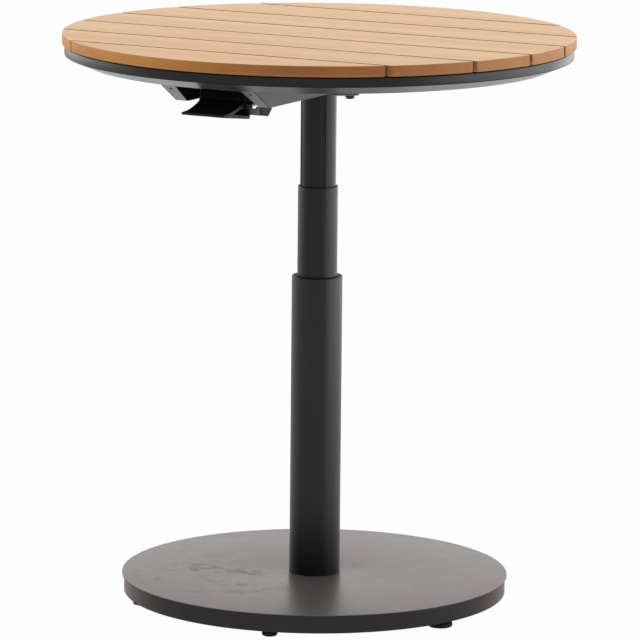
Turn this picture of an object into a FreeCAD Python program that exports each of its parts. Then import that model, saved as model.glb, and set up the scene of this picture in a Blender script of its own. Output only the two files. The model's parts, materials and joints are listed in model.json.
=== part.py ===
import FreeCAD, Part
import math
import os
import Sketcher
from types import SimpleNamespace

# Round garden table with a slatted wooden top on a three-stage telescoping column.
# Millimetres, +Z up, origin on the floor on the column's axis. The boards run along X
# and the release lever points to -Y. The column is drawn fully extended.

DOC = FreeCAD.newDocument("PedestalTable")
Vector = FreeCAD.Vector

# ---------------------------------------------------------------- driving dimensions

DRIVING = [
    ("table_height", 737, "top of the boards above the floor, column extended"),
    ("top_radius", 329, "outer radius of the boards"),
    ("board_count", 7, "boards side by side across the top"),
    ("board_thickness", 14, "thickness of a board"),
    ("board_gap", 6, "open joint between two boards"),
    ("outer_trim", 2.2, "how much narrower than the rest the two outer boards are"),
    ("board_ease", 1.2, "chamfer round the upper edge of a board"),
    ("reveal", 1.5, "shadow gap between the edge ring and the boards"),
    ("ring_inset", 3, "how far the edge ring stands inside the boards' edge"),
    ("ring_height", 11.6, "height of the edge ring"),
    ("ring_thickness", 4, "thickness of the edge ring"),
    ("bevel_run", 26, "horizontal width of the pan's bevel"),
    ("bevel_drop", 11, "height of the pan's bevel"),
    ("pan_thickness", 1.5, "sheet of the pan"),
    ("drain_radius", 2, "drain hole in the pan's bevel"),
    ("drain_angle", 9, "drain hole's angle from the lever's side, towards +X"),
    ("batten_width", 25, "width of a batten"),
    ("batten_wall", 2, "wall of a batten"),
    ("batten_spacing", 166, "distance between two battens"),
    ("batten_end_gap", 1.5, "space left between a batten's end and the pan"),
    ("board_screw_radius", 2, "shank of a board screw"),
    ("board_screw_bite", 9, "depth of a board screw in the wood"),
    ("board_screw_head_radius", 4, "head of a board screw"),
    ("board_screw_head_height", 2.5, "height of that head"),
    ("outer_screw_inset", 12, "outer boards' screws from those boards' inner edge"),
    ("screw_clearance", 0.2, "gap between a screw and the hole it passes"),
    ("pan_bolt_inset", 24.6, "pan bolts' circle inside the edge of the pan's flat"),
    ("pan_bolt_radius", 3, "shank of a pan bolt"),
    ("pan_bolt_head_radius", 6, "button head of a pan bolt"),
    ("pan_bolt_head_height", 6.5, "height of that head"),
    ("pan_bolt_length", 9, "shank of a pan bolt above the head"),
    ("mount_plate_side", 130, "side of the square plate on top of the column"),
    ("mount_plate_thickness", 5, "thickness of that plate"),
    ("mount_plate_corner", 12, "corner radius of that plate"),
    ("mount_bolt_pitch", 96, "distance between the mounting bolts"),
    ("mount_bolt_radius", 4, "shank of a mounting bolt"),
    ("mount_bolt_head_radius", 6.5, "head of a mounting bolt, across corners / 2"),
    ("mount_bolt_head_height", 5, "height of that head"),
    ("backing_bar_width", 25, "width of the bars inside the pan that the column bolts to"),
    ("backing_bar_thickness", 6, "thickness of those bars"),
    ("lower_tube_radius", 32.75, "outer radius of the lower tube"),
    ("lower_tube_wall", 2, "wall of the lower tube"),
    ("lower_tube_rise", 392.5, "height of the lower tube's rim above the base"),
    ("middle_tube_radius", 25.75, "outer radius of the middle tube"),
    ("middle_tube_wall", 1.6, "wall of the middle tube"),
    ("middle_tube_rise", 117.3, "height of the middle rim above the lower rim, extended"),
    ("upper_tube_radius", 23, "outer radius of the upper tube"),
    ("upper_tube_wall", 2.5, "wall of the upper tube"),
    ("upper_groove_width", 5.5, "width of a guide groove along the upper tube"),
    ("upper_groove_depth", 1.2, "depth of a guide groove"),
    ("tube_edge", 0.6, "chamfer on the rim of a tube"),
    ("slide_gap", 0.3, "running gap between a tube and its guide"),
    ("middle_travel", 113, "travel of the middle tube"),
    ("upper_travel", 125, "travel of the upper tube in the middle tube"),
    ("bush_recess", 2.5, "how far a guide bush sits below the rim"),
    ("lower_bush_length", 70, "length of the lower tube's guide bush"),
    ("middle_bush_length", 60, "length of the middle tube's guide bush"),
    ("slider_length", 40, "length of the guide ring at the foot of a moving tube"),
    ("foot_height", 8, "height of a foot glide"),
    ("foot_radius", 10, "radius of a foot glide"),
    ("foot_round", 2.5, "rounding of a foot glide's sole"),
    ("foot_inset", 14, "circle of feet inside the edge of the base"),
    ("foot_count", 6, "number of feet"),
    ("foot_first_angle", 44.6, "angle of the first foot from +X"),
    ("foot_stud_radius", 4, "stud of a foot glide"),
    ("foot_stud_length", 12, "length of that stud"),
    ("base_thickness", 24, "height of the base cover"),
    ("base_radius", 250.5, "radius of the base cover's top"),
    ("base_lip", 2.5, "overhang of the top over the skirt"),
    ("base_sheet", 2.5, "thickness of the base cover"),
    ("base_round", 0.8, "rounding of the base's upper edge"),
    ("bottom_plate_thickness", 2, "plate that closes the base"),
    ("base_clearance", 0.3, "gap round the plate and the ballast inside the cover"),
    ("ballast_inset", 24, "gap between the ballast and the skirt, where the feet's studs stand"),
    ("ballast_thickness", 12, "thickness of the ballast ring"),
    ("flange_radius", 75, "radius of the flange under the lower tube"),
    ("flange_thickness", 8, "thickness of that flange"),
    ("flange_bolt_circle", 55, "radius of the circle of flange bolts"),
    ("flange_bolt_radius", 4, "shank of a flange bolt"),
    ("flange_bolt_head_radius", 7, "head of a flange bolt"),
    ("flange_bolt_head_height", 5, "height of that head"),
    ("cylinder_radius", 14, "outer radius of the gas spring's cylinder"),
    ("cylinder_wall", 1.5, "wall of the cylinder"),
    ("cylinder_floor", 4, "thickness of the cylinder's bottom"),
    ("cylinder_gland", 8, "thickness of the gland at the cylinder's top"),
    ("cylinder_head_room", 20, "space above the cylinder with the column lowered"),
    ("stud_radius", 5, "stud under the cylinder"),
    ("stud_length", 17, "length of that stud"),
    ("rod_radius", 5, "radius of the piston rod"),
    ("rod_neck_radius", 4, "stepped ends of the piston rod"),
    ("rod_gap", 0.08, "running gap of the rod in its gland"),
    ("piston_height", 14, "height of the piston"),
    ("piston_headroom", 4, "space over the piston, column extended"),
    ("piston_gap", 0.3, "gap of the piston in the cylinder"),
    ("nut_radius", 8, "gas spring nuts, across corners / 2"),
    ("nut_height", 6, "height of those nuts"),
    ("bridge_thickness", 6, "plate inside the upper tube that carries the rod"),
    ("pin_radius", 2, "radius of the valve pin"),
    ("pin_stand_out", 7, "how far the valve pin stands out of the rod"),
    ("pin_length", 26, "length of the valve pin"),
    ("pin_bore_depth", 25, "depth of the valve pin's bore in the rod"),
    ("pin_gap", 0.06, "running gap of the valve pin and of the hinge pins"),
    ("contact_gap", 0.3, "gap between release parts that push on each other"),
    ("housing_half_width", 66.5, "half width of the release housing"),
    ("housing_depth", 25, "depth of the release housing below the pan"),
    ("housing_sheet", 1.5, "sheet of the release housing"),
    ("housing_front", 288.5, "distance of the housing's front edge from the axis"),
    ("housing_slope", 40, "horizontal run of its sloping front"),
    ("housing_back", 75, "distance of its back wall behind the axis"),
    ("housing_bend", 8, "bend radius between its front and its bottom"),
    ("housing_strip", 20, "strip of the front left at each side of the lever, at its top"),
    ("housing_strip_taper", 4.5, "how much narrower the strip is at the bend"),
    ("housing_opening", 88, "length of the lever opening from the front edge"),
    ("housing_flange", 13, "screw flange along each side"),
    ("housing_screw_pitch", 130, "distance between the screws of the housing"),
    ("housing_screw_first", 45, "distance of the rear screws behind the axis"),
    ("housing_screw_radius", 2, "shank of a housing screw"),
    ("housing_screw_head_radius", 4, "head of a housing screw"),
    ("housing_screw_head_height", 2.2, "height of that head"),
    ("housing_screw_length", 3, "shank of a housing screw above the head"),
    ("hanging_hole_radius", 2.2, "hole near the top of each front strip"),
    ("hanging_hole_reach", 278.5, "distance of those holes from the axis"),
    ("pivot_reach", 249, "distance of the lever's pivot from the axis"),
    ("pivot_drop", 23.3, "lever's pivot below the pan"),
    ("pivot_pin_radius", 2.5, "radius of the lever's pivot pin"),
    ("pivot_head_radius", 4, "head of the pivot pin"),
    ("pivot_head_height", 1.6, "height of that head"),
    ("lever_half_width", 30, "half width of the paddle"),
    ("lever_shift", 3, "middle of the paddle from the push rod, towards +X"),
    ("lever_reach", 55, "paddle's tip from the pivot"),
    ("lever_tip_drop", 10, "paddle's lower tip edge below the pivot"),
    ("lever_tip_thickness", 3, "thickness of the tip"),
    ("lever_scoop_radius", 95, "radius of the hollow in the paddle's upper side"),
    ("lever_scoop_back", 7.5, "end of the hollow in front of the pivot"),
    ("lever_scoop_rise", 5, "end of the hollow above the pivot"),
    ("lever_heel_back", 13, "paddle's heel behind the pivot"),
    ("lever_heel_drop", 19.5, "paddle's heel below the pivot"),
    ("lever_boss", 6.5, "top of the paddle's pivot boss above the pivot"),
    ("lever_web", 3, "web left between the paddle's side pockets, half thickness"),
    ("lever_pocket_reach", 40, "front end of a side pocket from the pivot"),
    ("lever_wall", 3.2, "wall round a side pocket"),
    ("lever_round", 1.2, "rounding of the paddle's edges"),
    ("lever_horn", 9.5, "push rod above the lever's pivot"),
    ("lever_crest", 5.5, "paddle's crest above the push rod's axis"),
    ("lever_crest_back", 2.5, "back of that crest behind the pivot"),
    ("bracket_sheet", 2, "sheet of the pivot brackets"),
    ("bracket_gap", 1, "gap between the paddle and a pivot bracket"),
    ("bracket_ear", 5, "pivot bracket in front of, below and behind the pivot"),
    ("bracket_back", 11, "back edge of a pivot bracket's flange from the pivot"),
    ("bracket_flange", 14, "screw flange of a bracket"),
    ("bracket_round", 4.5, "rounded lower corner of a bracket"),
    ("stop_offset", 12.5, "stop bracket's plate from the paddle's right side"),
    ("stop_gap", 0.5, "gap between the paddle's heel and the stop"),
    ("stop_lap", 5, "how far the stop reaches behind the paddle"),
    ("stop_length", 27, "length of the stop bracket's plate"),
    ("stop_toe_drop", 14, "stop bracket's front corner below the pivot"),
    ("stop_tail_drop", 18.5, "stop bracket's back corner below the pivot"),
    ("spring_room", 8, "space for the return spring beside the right pivot bracket"),
    ("spring_wire", 0.8, "radius of the return spring's wire"),
    ("spring_clearance", 0.3, "gap between the return spring, the pin and the parts beside it"),
    ("spring_turns", 5, "turns of the return spring"),
    ("push_rod_radius", 2.5, "radius of the push rod"),
    ("push_rod_round", 1, "rounded ends of the push rod"),
    ("guide_width", 16, "width of a push rod guide"),
    ("guide_sheet", 2, "sheet of a push rod guide"),
    ("guide_foot", 12, "foot of a push rod guide against the pan"),
    ("guide_front_reach", 200, "front guide from the axis"),
    ("guide_rear_reach", 90, "rear guide from the axis"),
    ("rocker_arm", 10, "push rod above the rocker's pivot"),
    ("rocker_reach", 14, "rocker's pivot in front of the axis"),
    ("rocker_thickness", 5, "thickness of the rocker"),
    ("rocker_tail", 4, "rocker's tail behind the axis"),
    ("rocker_pin_radius", 2, "radius of the rocker's pin"),
    ("rocker_drop", 4, "valve pin's top below the rocker's pivot"),
    ("rocker_ear", 3, "thickness of an ear of the rocker's bracket"),
    ("rocker_ear_gap", 0.5, "gap between the rocker and an ear"),
    ("rod_slot_half_width", 5, "half width of the push rod's slot in the upper tube"),
]


class Size:
    """A length, count or angle: its value now and the sheet formula it follows."""

    def __init__(self, value, formula):
        self.value = float(value)
        self.formula = formula

    def _with(self, other, sign, result, swap=False):
        first, second = (other, self) if swap else (self, other)
        return Size(result, f"({first.formula} {sign} {second.formula})")

    def __add__(self, other):
        other = as_size(other)
        return self._with(other, "+", self.value + other.value)

    __radd__ = __add__

    def __sub__(self, other):
        other = as_size(other)
        return self._with(other, "-", self.value - other.value)

    def __rsub__(self, other):
        other = as_size(other)
        return self._with(other, "-", other.value - self.value, swap=True)

    def __mul__(self, other):
        other = as_size(other)
        return self._with(other, "*", self.value * other.value)

    __rmul__ = __mul__

    def __truediv__(self, other):
        other = as_size(other)
        return self._with(other, "/", self.value / other.value)

    def __neg__(self):
        return Size(-self.value, f"(0 - {self.formula})")


def as_size(number):
    return number if isinstance(number, Size) else Size(number, f"{number}")


def root(square):
    return Size(math.sqrt(square.value), f"sqrt({square.formula})")


def cosine(degrees):
    return Size(math.cos(math.radians(degrees.value)), f"cos({degrees.formula})")


def sine(degrees):
    return Size(math.sin(math.radians(degrees.value)), f"sin({degrees.formula})")


SHEET = DOC.addObject("Spreadsheet::Sheet", "Sizes")
D = SimpleNamespace()
for row, (alias, value, meaning) in enumerate(DRIVING, start=1):
    SHEET.set(f"A{row}", alias)
    SHEET.set(f"B{row}", str(value))
    SHEET.setAlias(f"B{row}", alias)
    SHEET.set(f"C{row}", meaning)
    setattr(D, alias, Size(value, f"Sizes.{alias}"))
DOC.recompute()

ORIGIN = as_size(0)

# ---------------------------------------------------------------- levels and radii

WOOD_BOTTOM = D.table_height - D.board_thickness
RING_TOP = WOOD_BOTTOM - D.reveal
RING_BOTTOM = RING_TOP - D.ring_height
PAN_BOTTOM = RING_BOTTOM - D.bevel_drop
PAN_FLOOR = PAN_BOTTOM + D.pan_thickness
RING_RADIUS = D.top_radius - D.ring_inset
RING_INNER = RING_RADIUS - D.ring_thickness
PAN_FLAT = RING_RADIUS - D.bevel_run
PAN_FLAT_INNER = PAN_FLAT - D.pan_thickness / 2
BOARD_PITCH = (D.top_radius * 2 + D.outer_trim * 2 + D.board_gap) / D.board_count

PLATE_BOTTOM = PAN_BOTTOM - D.mount_plate_thickness
BASE_TOP = D.foot_height + D.base_thickness
BASE_UNDER_TOP = BASE_TOP - D.base_sheet
LOWER_RIM = BASE_TOP + D.lower_tube_rise
MIDDLE_RIM = LOWER_RIM + D.middle_tube_rise
LOWER_INNER = D.lower_tube_radius - D.lower_tube_wall
MIDDLE_INNER = D.middle_tube_radius - D.middle_tube_wall
UPPER_INNER = D.upper_tube_radius - D.upper_tube_wall

LOWER_BUSH_TOP = LOWER_RIM - D.bush_recess
LOWER_BUSH_BOTTOM = LOWER_BUSH_TOP - D.lower_bush_length
MIDDLE_SLIDER_TOP = LOWER_BUSH_BOTTOM - D.slide_gap
MIDDLE_TUBE_BOTTOM = MIDDLE_SLIDER_TOP - D.slider_length
MIDDLE_BUSH_TOP = MIDDLE_RIM - D.bush_recess
MIDDLE_BUSH_BOTTOM = MIDDLE_BUSH_TOP - D.middle_bush_length
UPPER_SLIDER_TOP = MIDDLE_BUSH_BOTTOM - D.slide_gap
UPPER_TUBE_BOTTOM = UPPER_SLIDER_TOP - D.slider_length

PIVOT_Y = -D.pivot_reach
PIVOT_Z = PAN_BOTTOM - D.pivot_drop
ROD_AXIS_Z = PIVOT_Z + D.lever_horn
ROCKER_Y = -D.rocker_reach
ROCKER_Z = ROD_AXIS_Z - D.rocker_arm
PIN_TOP = ROCKER_Z - D.rocker_drop
ROD_TOP = PIN_TOP - D.pin_stand_out
BRIDGE_TOP = ROD_TOP - D.nut_height - 1
BRIDGE_BOTTOM = BRIDGE_TOP - D.bridge_thickness
CYLINDER_TOP = BRIDGE_BOTTOM - D.middle_travel - D.upper_travel - D.cylinder_head_room
PISTON_TOP = CYLINDER_TOP - D.cylinder_gland - D.piston_headroom
PISTON_BOTTOM = PISTON_TOP - D.piston_height

# ---------------------------------------------------------------- sketches and features

PIECES = []


def keep(item, name):
    """Give a finished sub-part its name and put it on the list to be written."""
    item.Label = name
    PIECES.append(item)
    return item


def bind(item, path, amount):
    """Tie one property of an object to its formula."""
    item.setExpression(path, as_size(amount).formula)


def place(item, x=ORIGIN, y=ORIGIN, z=ORIGIN):
    for axis, amount in zip("xyz", (x, y, z)):
        bind(item, f"Placement.Base.{axis}", amount)


def body(name):
    return DOC.addObject("PartDesign::Body", name + "_body")


def origin_feature(owner, role):
    return next(item for item in owner.Origin.OriginFeatures if item.Role == role)


def sketch_on(owner, role, level=ORIGIN, turn=0):
    """A sketch on one of the body's own origin planes, lifted and turned on it."""
    sketch = owner.newObject("Sketcher::SketchObject", owner.Name + "_sketch")
    sketch.AttachmentSupport = [(origin_feature(owner, role), "")]
    sketch.MapMode = "FlatFace"
    lift = Vector(0, 0, level.value)
    sketch.AttachmentOffset = FreeCAD.Placement(lift, FreeCAD.Rotation(Vector(0, 0, 1), turn))
    bind(sketch, "AttachmentOffset.Base.z", level)
    return sketch


def pin_point(sketch, curve, end, x, y):
    """Hold one end of a curve at a place that follows the sheet."""
    for kind, axis, amount in (("DistanceX", -2, as_size(x)), ("DistanceY", -1, as_size(y))):
        if amount.value == 0:
            sketch.addConstraint(Sketcher.Constraint("PointOnObject", curve, end, axis))
        else:
            rule = Sketcher.Constraint(kind, -1, 1, curve, end, amount.value)
            row = sketch.addConstraint(rule)
            bind(sketch, f"Constraints[{row}]", amount)


def arc_between(first, last, radius):
    """Arc from first to last about a centre on the left (radius > 0) or right (< 0)."""
    middle = (first + last) * 0.5
    chord = last - first
    left = Vector(-chord.y, chord.x, 0)
    left.normalize()
    offset = math.sqrt(radius * radius - chord.Length ** 2 / 4)
    centre = middle + left * math.copysign(offset, radius)
    begin, finish = (first, last) if radius > 0 else (last, first)
    start_angle = math.atan2(begin.y - centre.y, begin.x - centre.x)
    end_angle = math.atan2(finish.y - centre.y, finish.x - centre.x)
    if end_angle < start_angle:
        end_angle += 2 * math.pi
    circle = Part.Circle(centre, Vector(0, 0, 1), abs(radius))
    return Part.ArcOfCircle(circle, start_angle, end_angle)


def outline(sketch, corners):
    """Close an outline through corners (x, y). A corner (x, y, radius) bends the edge
    after it into an arc, with its centre on the left if the radius is positive."""
    corners = [tuple(as_size(part) for part in corner) for corner in corners]
    spots = [Vector(corner[0].value, corner[1].value, 0) for corner in corners]
    ends = []
    for number, corner in enumerate(corners):
        first = spots[number]
        last = spots[(number + 1) % len(corners)]
        if len(corner) == 3:
            curve = sketch.addGeometry(arc_between(first, last, corner[2].value), False)
            rule = Sketcher.Constraint("Radius", curve, abs(corner[2].value))
            row = sketch.addConstraint(rule)
            radius = corner[2] if corner[2].value > 0 else -corner[2]
            bind(sketch, f"Constraints[{row}]", radius)
            ends.append((curve, 1, 2) if corner[2].value > 0 else (curve, 2, 1))
        else:
            curve = sketch.addGeometry(Part.LineSegment(first, last), False)
            ends.append((curve, 1, 2))
    for number, (curve, _, finish) in enumerate(ends):
        following, begin, _ = ends[(number + 1) % len(ends)]
        sketch.addConstraint(Sketcher.Constraint("Coincident", curve, finish, following, begin))
    for (curve, begin, _), corner in zip(ends, corners):
        pin_point(sketch, curve, begin, corner[0], corner[1])
    return sketch


def circle(sketch, x, y, radius):
    x, y, radius = as_size(x), as_size(y), as_size(radius)
    ring = Part.Circle(Vector(x.value, y.value, 0), Vector(0, 0, 1), radius.value)
    curve = sketch.addGeometry(ring, False)
    row = sketch.addConstraint(Sketcher.Constraint("Radius", curve, radius.value))
    bind(sketch, f"Constraints[{row}]", radius)
    if x.value == 0 and y.value == 0:
        sketch.addConstraint(Sketcher.Constraint("Coincident", curve, 3, -1, 1))
    else:
        pin_point(sketch, curve, 3, x, y)
    return sketch


def rectangle(sketch, left, right, low, high):
    return outline(sketch, [(left, low), (right, low), (right, high), (left, high)])


def feature(owner, kind, sketch):
    item = owner.newObject("PartDesign::" + kind, owner.Name + "_" + kind.lower())
    item.Profile = sketch
    return item


def pad(owner, sketch, length, both_sides=False, down=False):
    item = feature(owner, "Pad", sketch)
    bind(item, "Length", length)
    item.SideType = "Symmetric" if both_sides else "One side"
    item.Reversed = down
    return item


def pocket(owner, sketch, length, both_sides=False, up=False):
    item = feature(owner, "Pocket", sketch)
    bind(item, "Length", length)
    item.SideType = "Symmetric" if both_sides else "One side"
    item.Reversed = up
    return item


def revolution(owner, sketch):
    item = feature(owner, "Revolution", sketch)
    item.ReferenceAxis = (sketch, ["V_Axis"])
    item.Angle = 360
    return item


def polar_pattern(owner, source, count):
    item = owner.newObject("PartDesign::PolarPattern", owner.Name + "_ring")
    item.Originals = [source]
    item.Axis = (origin_feature(owner, "Z_Axis"), [""])
    item.Angle = 360
    bind(item, "Occurrences", count)
    owner.Tip = item
    return item


def edges_where(source, test):
    """Names of a feature's edges whose shape passes the test."""
    DOC.recompute()
    edges = source.Shape.Edges
    return [f"Edge{number}" for number, edge in enumerate(edges, start=1) if test(edge)]


def round_edges(owner, source, radius, test, kind="Fillet"):
    item = owner.newObject("PartDesign::" + kind, owner.Name + "_" + kind.lower())
    item.Base = (source, edges_where(source, test))
    bind(item, "Radius" if kind == "Fillet" else "Size", radius)
    return item


def along(edge, axis):
    """True for a straight edge that runs along an axis, such as 'x'."""
    if not isinstance(edge.Curve, Part.Line):
        return False
    return abs(abs(getattr(edge.Curve.Direction, axis)) - 1) < 1e-6


def turned(name, profile):
    """A round piece on the table's axis, turned from its section (radius, height)."""
    owner = body(name)
    revolution(owner, outline(sketch_on(owner, "XZ_Plane"), profile))
    return keep(owner, name)


def turned_group(name, profile, spots):
    """Copies of one turned piece, each standing upright at a spot (x, y)."""
    sketch = DOC.addObject("Sketcher::SketchObject", name + "_section")
    outline(sketch, profile)
    sketch.Placement = FreeCAD.Placement(Vector(), FreeCAD.Rotation(Vector(1, 0, 0), 90))
    copies = []
    for x, y in spots:
        copy = DOC.addObject("Part::Revolution", name + "_copy")
        copy.Source = sketch
        copy.Axis = Vector(0, 0, 1)
        copy.Angle = 360
        copy.Solid = True
        place(copy, x, y)
        copies.append(copy)
    group = DOC.addObject("Part::Compound", name + "_group")
    group.Links = copies
    return keep(group, name)


def cylinder(radius, height, x=ORIGIN, y=ORIGIN, z=ORIGIN):
    item = DOC.addObject("Part::Cylinder", "round")
    bind(item, "Radius", radius)
    bind(item, "Height", height)
    place(item, x, y, z)
    return item


def hexagon(radius, height, x=ORIGIN, y=ORIGIN, z=ORIGIN):
    item = DOC.addObject("Part::Prism", "hexagon")
    item.Polygon = 6
    bind(item, "Circumradius", radius)
    bind(item, "Height", height)
    place(item, x, y, z)
    return item


def block(x, y, z):
    """A box between two limits on each axis."""
    item = DOC.addObject("Part::Box", "block")
    for side, (low, high) in zip(("Length", "Width", "Height"), (x, y, z)):
        bind(item, side, high - low)
    place(item, x[0], y[0], z[0])
    return item


def fused(name, parts):
    item = DOC.addObject("Part::MultiFuse", name + "_whole")
    item.Shapes = parts
    return keep(item, name)


def cut(name, base, tools):
    """A primitive less the holes that pass through it."""
    holes = tools[0]
    if len(tools) > 1:
        holes = DOC.addObject("Part::MultiFuse", name + "_holes")
        holes.Shapes = tools
    item = DOC.addObject("Part::Cut", name + "_drilled")
    item.Base = base
    item.Tool = holes
    return keep(item, name)


# ---------------------------------------------------------------- where fasteners stand

SIDES = (-1, 1)
CORNERS = [(across, ahead) for across in SIDES for ahead in SIDES]
BATTENS = {"left": -1, "centre": 0, "right": 1}


def corner_spots(x, y):
    return [(x * across, y * ahead) for across, ahead in CORNERS]


def circle_spots(radius, count, first_angle):
    angles = [first_angle + as_size(number * 360) / count for number in range(int(count.value))]
    return [(radius * cosine(angle), radius * sine(angle)) for angle in angles]


MOUNT_SPOTS = corner_spots(D.mount_bolt_pitch / 2, D.mount_bolt_pitch / 2)
PAN_BOLT_CIRCLE = PAN_FLAT - D.pan_bolt_inset
PAN_BOLT_REACH = root(PAN_BOLT_CIRCLE * PAN_BOLT_CIRCLE - D.batten_spacing * D.batten_spacing)
PAN_BOLT_SPOTS = corner_spots(D.batten_spacing, PAN_BOLT_REACH)
FLANGE_SPOTS = circle_spots(D.flange_bolt_circle, as_size(4), as_size(45))
FOOT_SPOTS = circle_spots(D.base_radius - D.foot_inset, D.foot_count, D.foot_first_angle)
HOUSING_SCREW_X = D.housing_half_width + D.housing_flange / 2
HOUSING_SCREW_SPOTS = [
    (HOUSING_SCREW_X * across, D.housing_screw_first - D.housing_screw_pitch * step)
    for across in SIDES for step in range(3)
]
LEVER_LEFT_X = D.lever_shift - D.lever_half_width
LEVER_RIGHT_X = D.lever_shift + D.lever_half_width
LEFT_BRACKET_X = LEVER_LEFT_X - D.bracket_gap
RIGHT_BRACKET_X = LEVER_RIGHT_X + D.bracket_gap
STOP_X = LEVER_RIGHT_X + D.stop_offset
STOP_FRONT = PIVOT_Y + D.lever_heel_back + D.stop_gap
STOP_BACK = STOP_FRONT + D.stop_length
PIVOT_FLANGE_Y = PIVOT_Y + (D.bracket_back - D.bracket_ear) / 2
BRACKET_SCREW_SPOTS = [
    (LEFT_BRACKET_X - D.bracket_sheet - D.bracket_flange / 2, PIVOT_FLANGE_Y),
    (RIGHT_BRACKET_X + D.bracket_sheet + D.bracket_flange / 2, PIVOT_FLANGE_Y),
    (STOP_X + D.bracket_sheet + D.bracket_flange / 2, (STOP_FRONT + STOP_BACK) / 2),
]
GUIDE_SCREW_SPOTS = [
    (ORIGIN, -D.guide_front_reach + D.guide_foot / 2 + D.guide_sheet),
    (ORIGIN, -D.guide_rear_reach + D.guide_foot / 2 + D.guide_sheet),
]
SMALL_SCREW_SPOTS = BRACKET_SCREW_SPOTS + GUIDE_SCREW_SPOTS


def board_span(number):
    """The two sides of board number, counted from -Y."""
    low = BOARD_PITCH * number - D.top_radius - D.outer_trim
    return low, low + BOARD_PITCH - D.board_gap


def board_screw_y(number):
    """Screws stand on a board's centre line, but near the inner edge of the outer two."""
    low, high = board_span(number)
    if number == 0:
        return high - D.outer_screw_inset
    if number == int(D.board_count.value) - 1:
        return low + D.outer_screw_inset
    return (low + high) / 2


# ---------------------------------------------------------------- base


def build_base():
    skirt = D.base_radius - D.base_lip
    skirt_inner = skirt - D.base_sheet
    owner = body("base_cover")
    profile = outline(sketch_on(owner, "XZ_Plane"), [
        (D.lower_tube_radius + D.screw_clearance, BASE_UNDER_TOP),
        (skirt_inner, BASE_UNDER_TOP),
        (skirt_inner, D.foot_height),
        (skirt, D.foot_height),
        (skirt, BASE_UNDER_TOP),
        (D.base_radius, BASE_UNDER_TOP),
        (D.base_radius, BASE_TOP),
        (D.lower_tube_radius + D.screw_clearance, BASE_TOP),
    ])
    shell = revolution(owner, profile)
    rim = D.base_radius.value

    def is_rim(edge):
        return isinstance(edge.Curve, Part.Circle) and abs(edge.Curve.Radius - rim) < 0.01

    round_edges(owner, shell, D.base_round, is_rim)
    keep(owner, "base_cover")

    plate_top = D.foot_height + D.bottom_plate_thickness
    plate_radius = skirt_inner - D.base_clearance
    owner = body("base_bottom_plate")
    disc = circle(sketch_on(owner, "XY_Plane", D.foot_height), 0, 0, plate_radius)
    pad(owner, disc, D.bottom_plate_thickness)
    foot_hole = sketch_on(owner, "XY_Plane", plate_top)
    circle(foot_hole, *FOOT_SPOTS[0], D.foot_stud_radius + D.screw_clearance)
    hole = pocket(owner, foot_hole, D.bottom_plate_thickness)
    polar_pattern(owner, hole, D.foot_count)
    keep(owner, "base_bottom_plate")

    flange_bottom = BASE_UNDER_TOP - D.flange_thickness
    ballast_top = plate_top + D.ballast_thickness
    ballast_outer = skirt_inner - D.ballast_inset
    ballast_inner = D.flange_radius + D.base_clearance
    owner = body("ballast_ring")
    section = outline(sketch_on(owner, "XZ_Plane"), [
        (ballast_inner, plate_top),
        (ballast_outer, plate_top),
        (ballast_outer, ballast_top),
        (ballast_inner, ballast_top),
    ])
    revolution(owner, section)
    keep(owner, "ballast_ring")

    owner = body("column_flange")
    section = outline(sketch_on(owner, "XZ_Plane"), [
        (D.stud_radius + D.screw_clearance, flange_bottom),
        (D.flange_radius, flange_bottom),
        (D.flange_radius, BASE_UNDER_TOP),
        (D.stud_radius + D.screw_clearance, BASE_UNDER_TOP),
    ])
    revolution(owner, section)
    bolt_hole = sketch_on(owner, "XY_Plane", flange_bottom)
    circle(bolt_hole, *FLANGE_SPOTS[0], D.flange_bolt_radius + D.screw_clearance)
    hole = pocket(owner, bolt_hole, D.flange_thickness, up=True)
    polar_pattern(owner, hole, as_size(4))
    keep(owner, "column_flange")

    head_bottom = flange_bottom - D.flange_bolt_head_height
    turned_group("flange_bolts", [
        (ORIGIN, head_bottom),
        (D.flange_bolt_head_radius, head_bottom),
        (D.flange_bolt_head_radius, flange_bottom),
        (D.flange_bolt_radius, flange_bottom),
        (D.flange_bolt_radius, BASE_UNDER_TOP),
        (ORIGIN, BASE_UNDER_TOP),
    ], FLANGE_SPOTS)

    sole = D.foot_radius - D.foot_round
    stud_top = D.foot_height + D.foot_stud_length
    for number, (x, y) in enumerate(FOOT_SPOTS, start=1):
        name = f"foot_glide_{number}"
        turned(name, [
            (ORIGIN, ORIGIN),
            (sole, ORIGIN, D.foot_round),
            (D.foot_radius, D.foot_round),
            (D.foot_radius, D.foot_height),
            (D.foot_stud_radius, D.foot_height),
            (D.foot_stud_radius, stud_top),
            (ORIGIN, stud_top),
        ])
        place(PIECES[-1], x, y)


# ---------------------------------------------------------------- column


def tube(name, outer, inner, bottom, top):
    """A round tube with both edges of its upper rim broken."""
    return turned(name, [
        (inner, bottom),
        (outer, bottom),
        (outer, top - D.tube_edge),
        (outer - D.tube_edge, top),
        (inner + D.tube_edge, top),
        (inner, top - D.tube_edge),
    ])


def sleeve(name, outer, inner, bottom, top):
    return turned(name, [(inner, bottom), (outer, bottom), (outer, top), (inner, top)])


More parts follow.
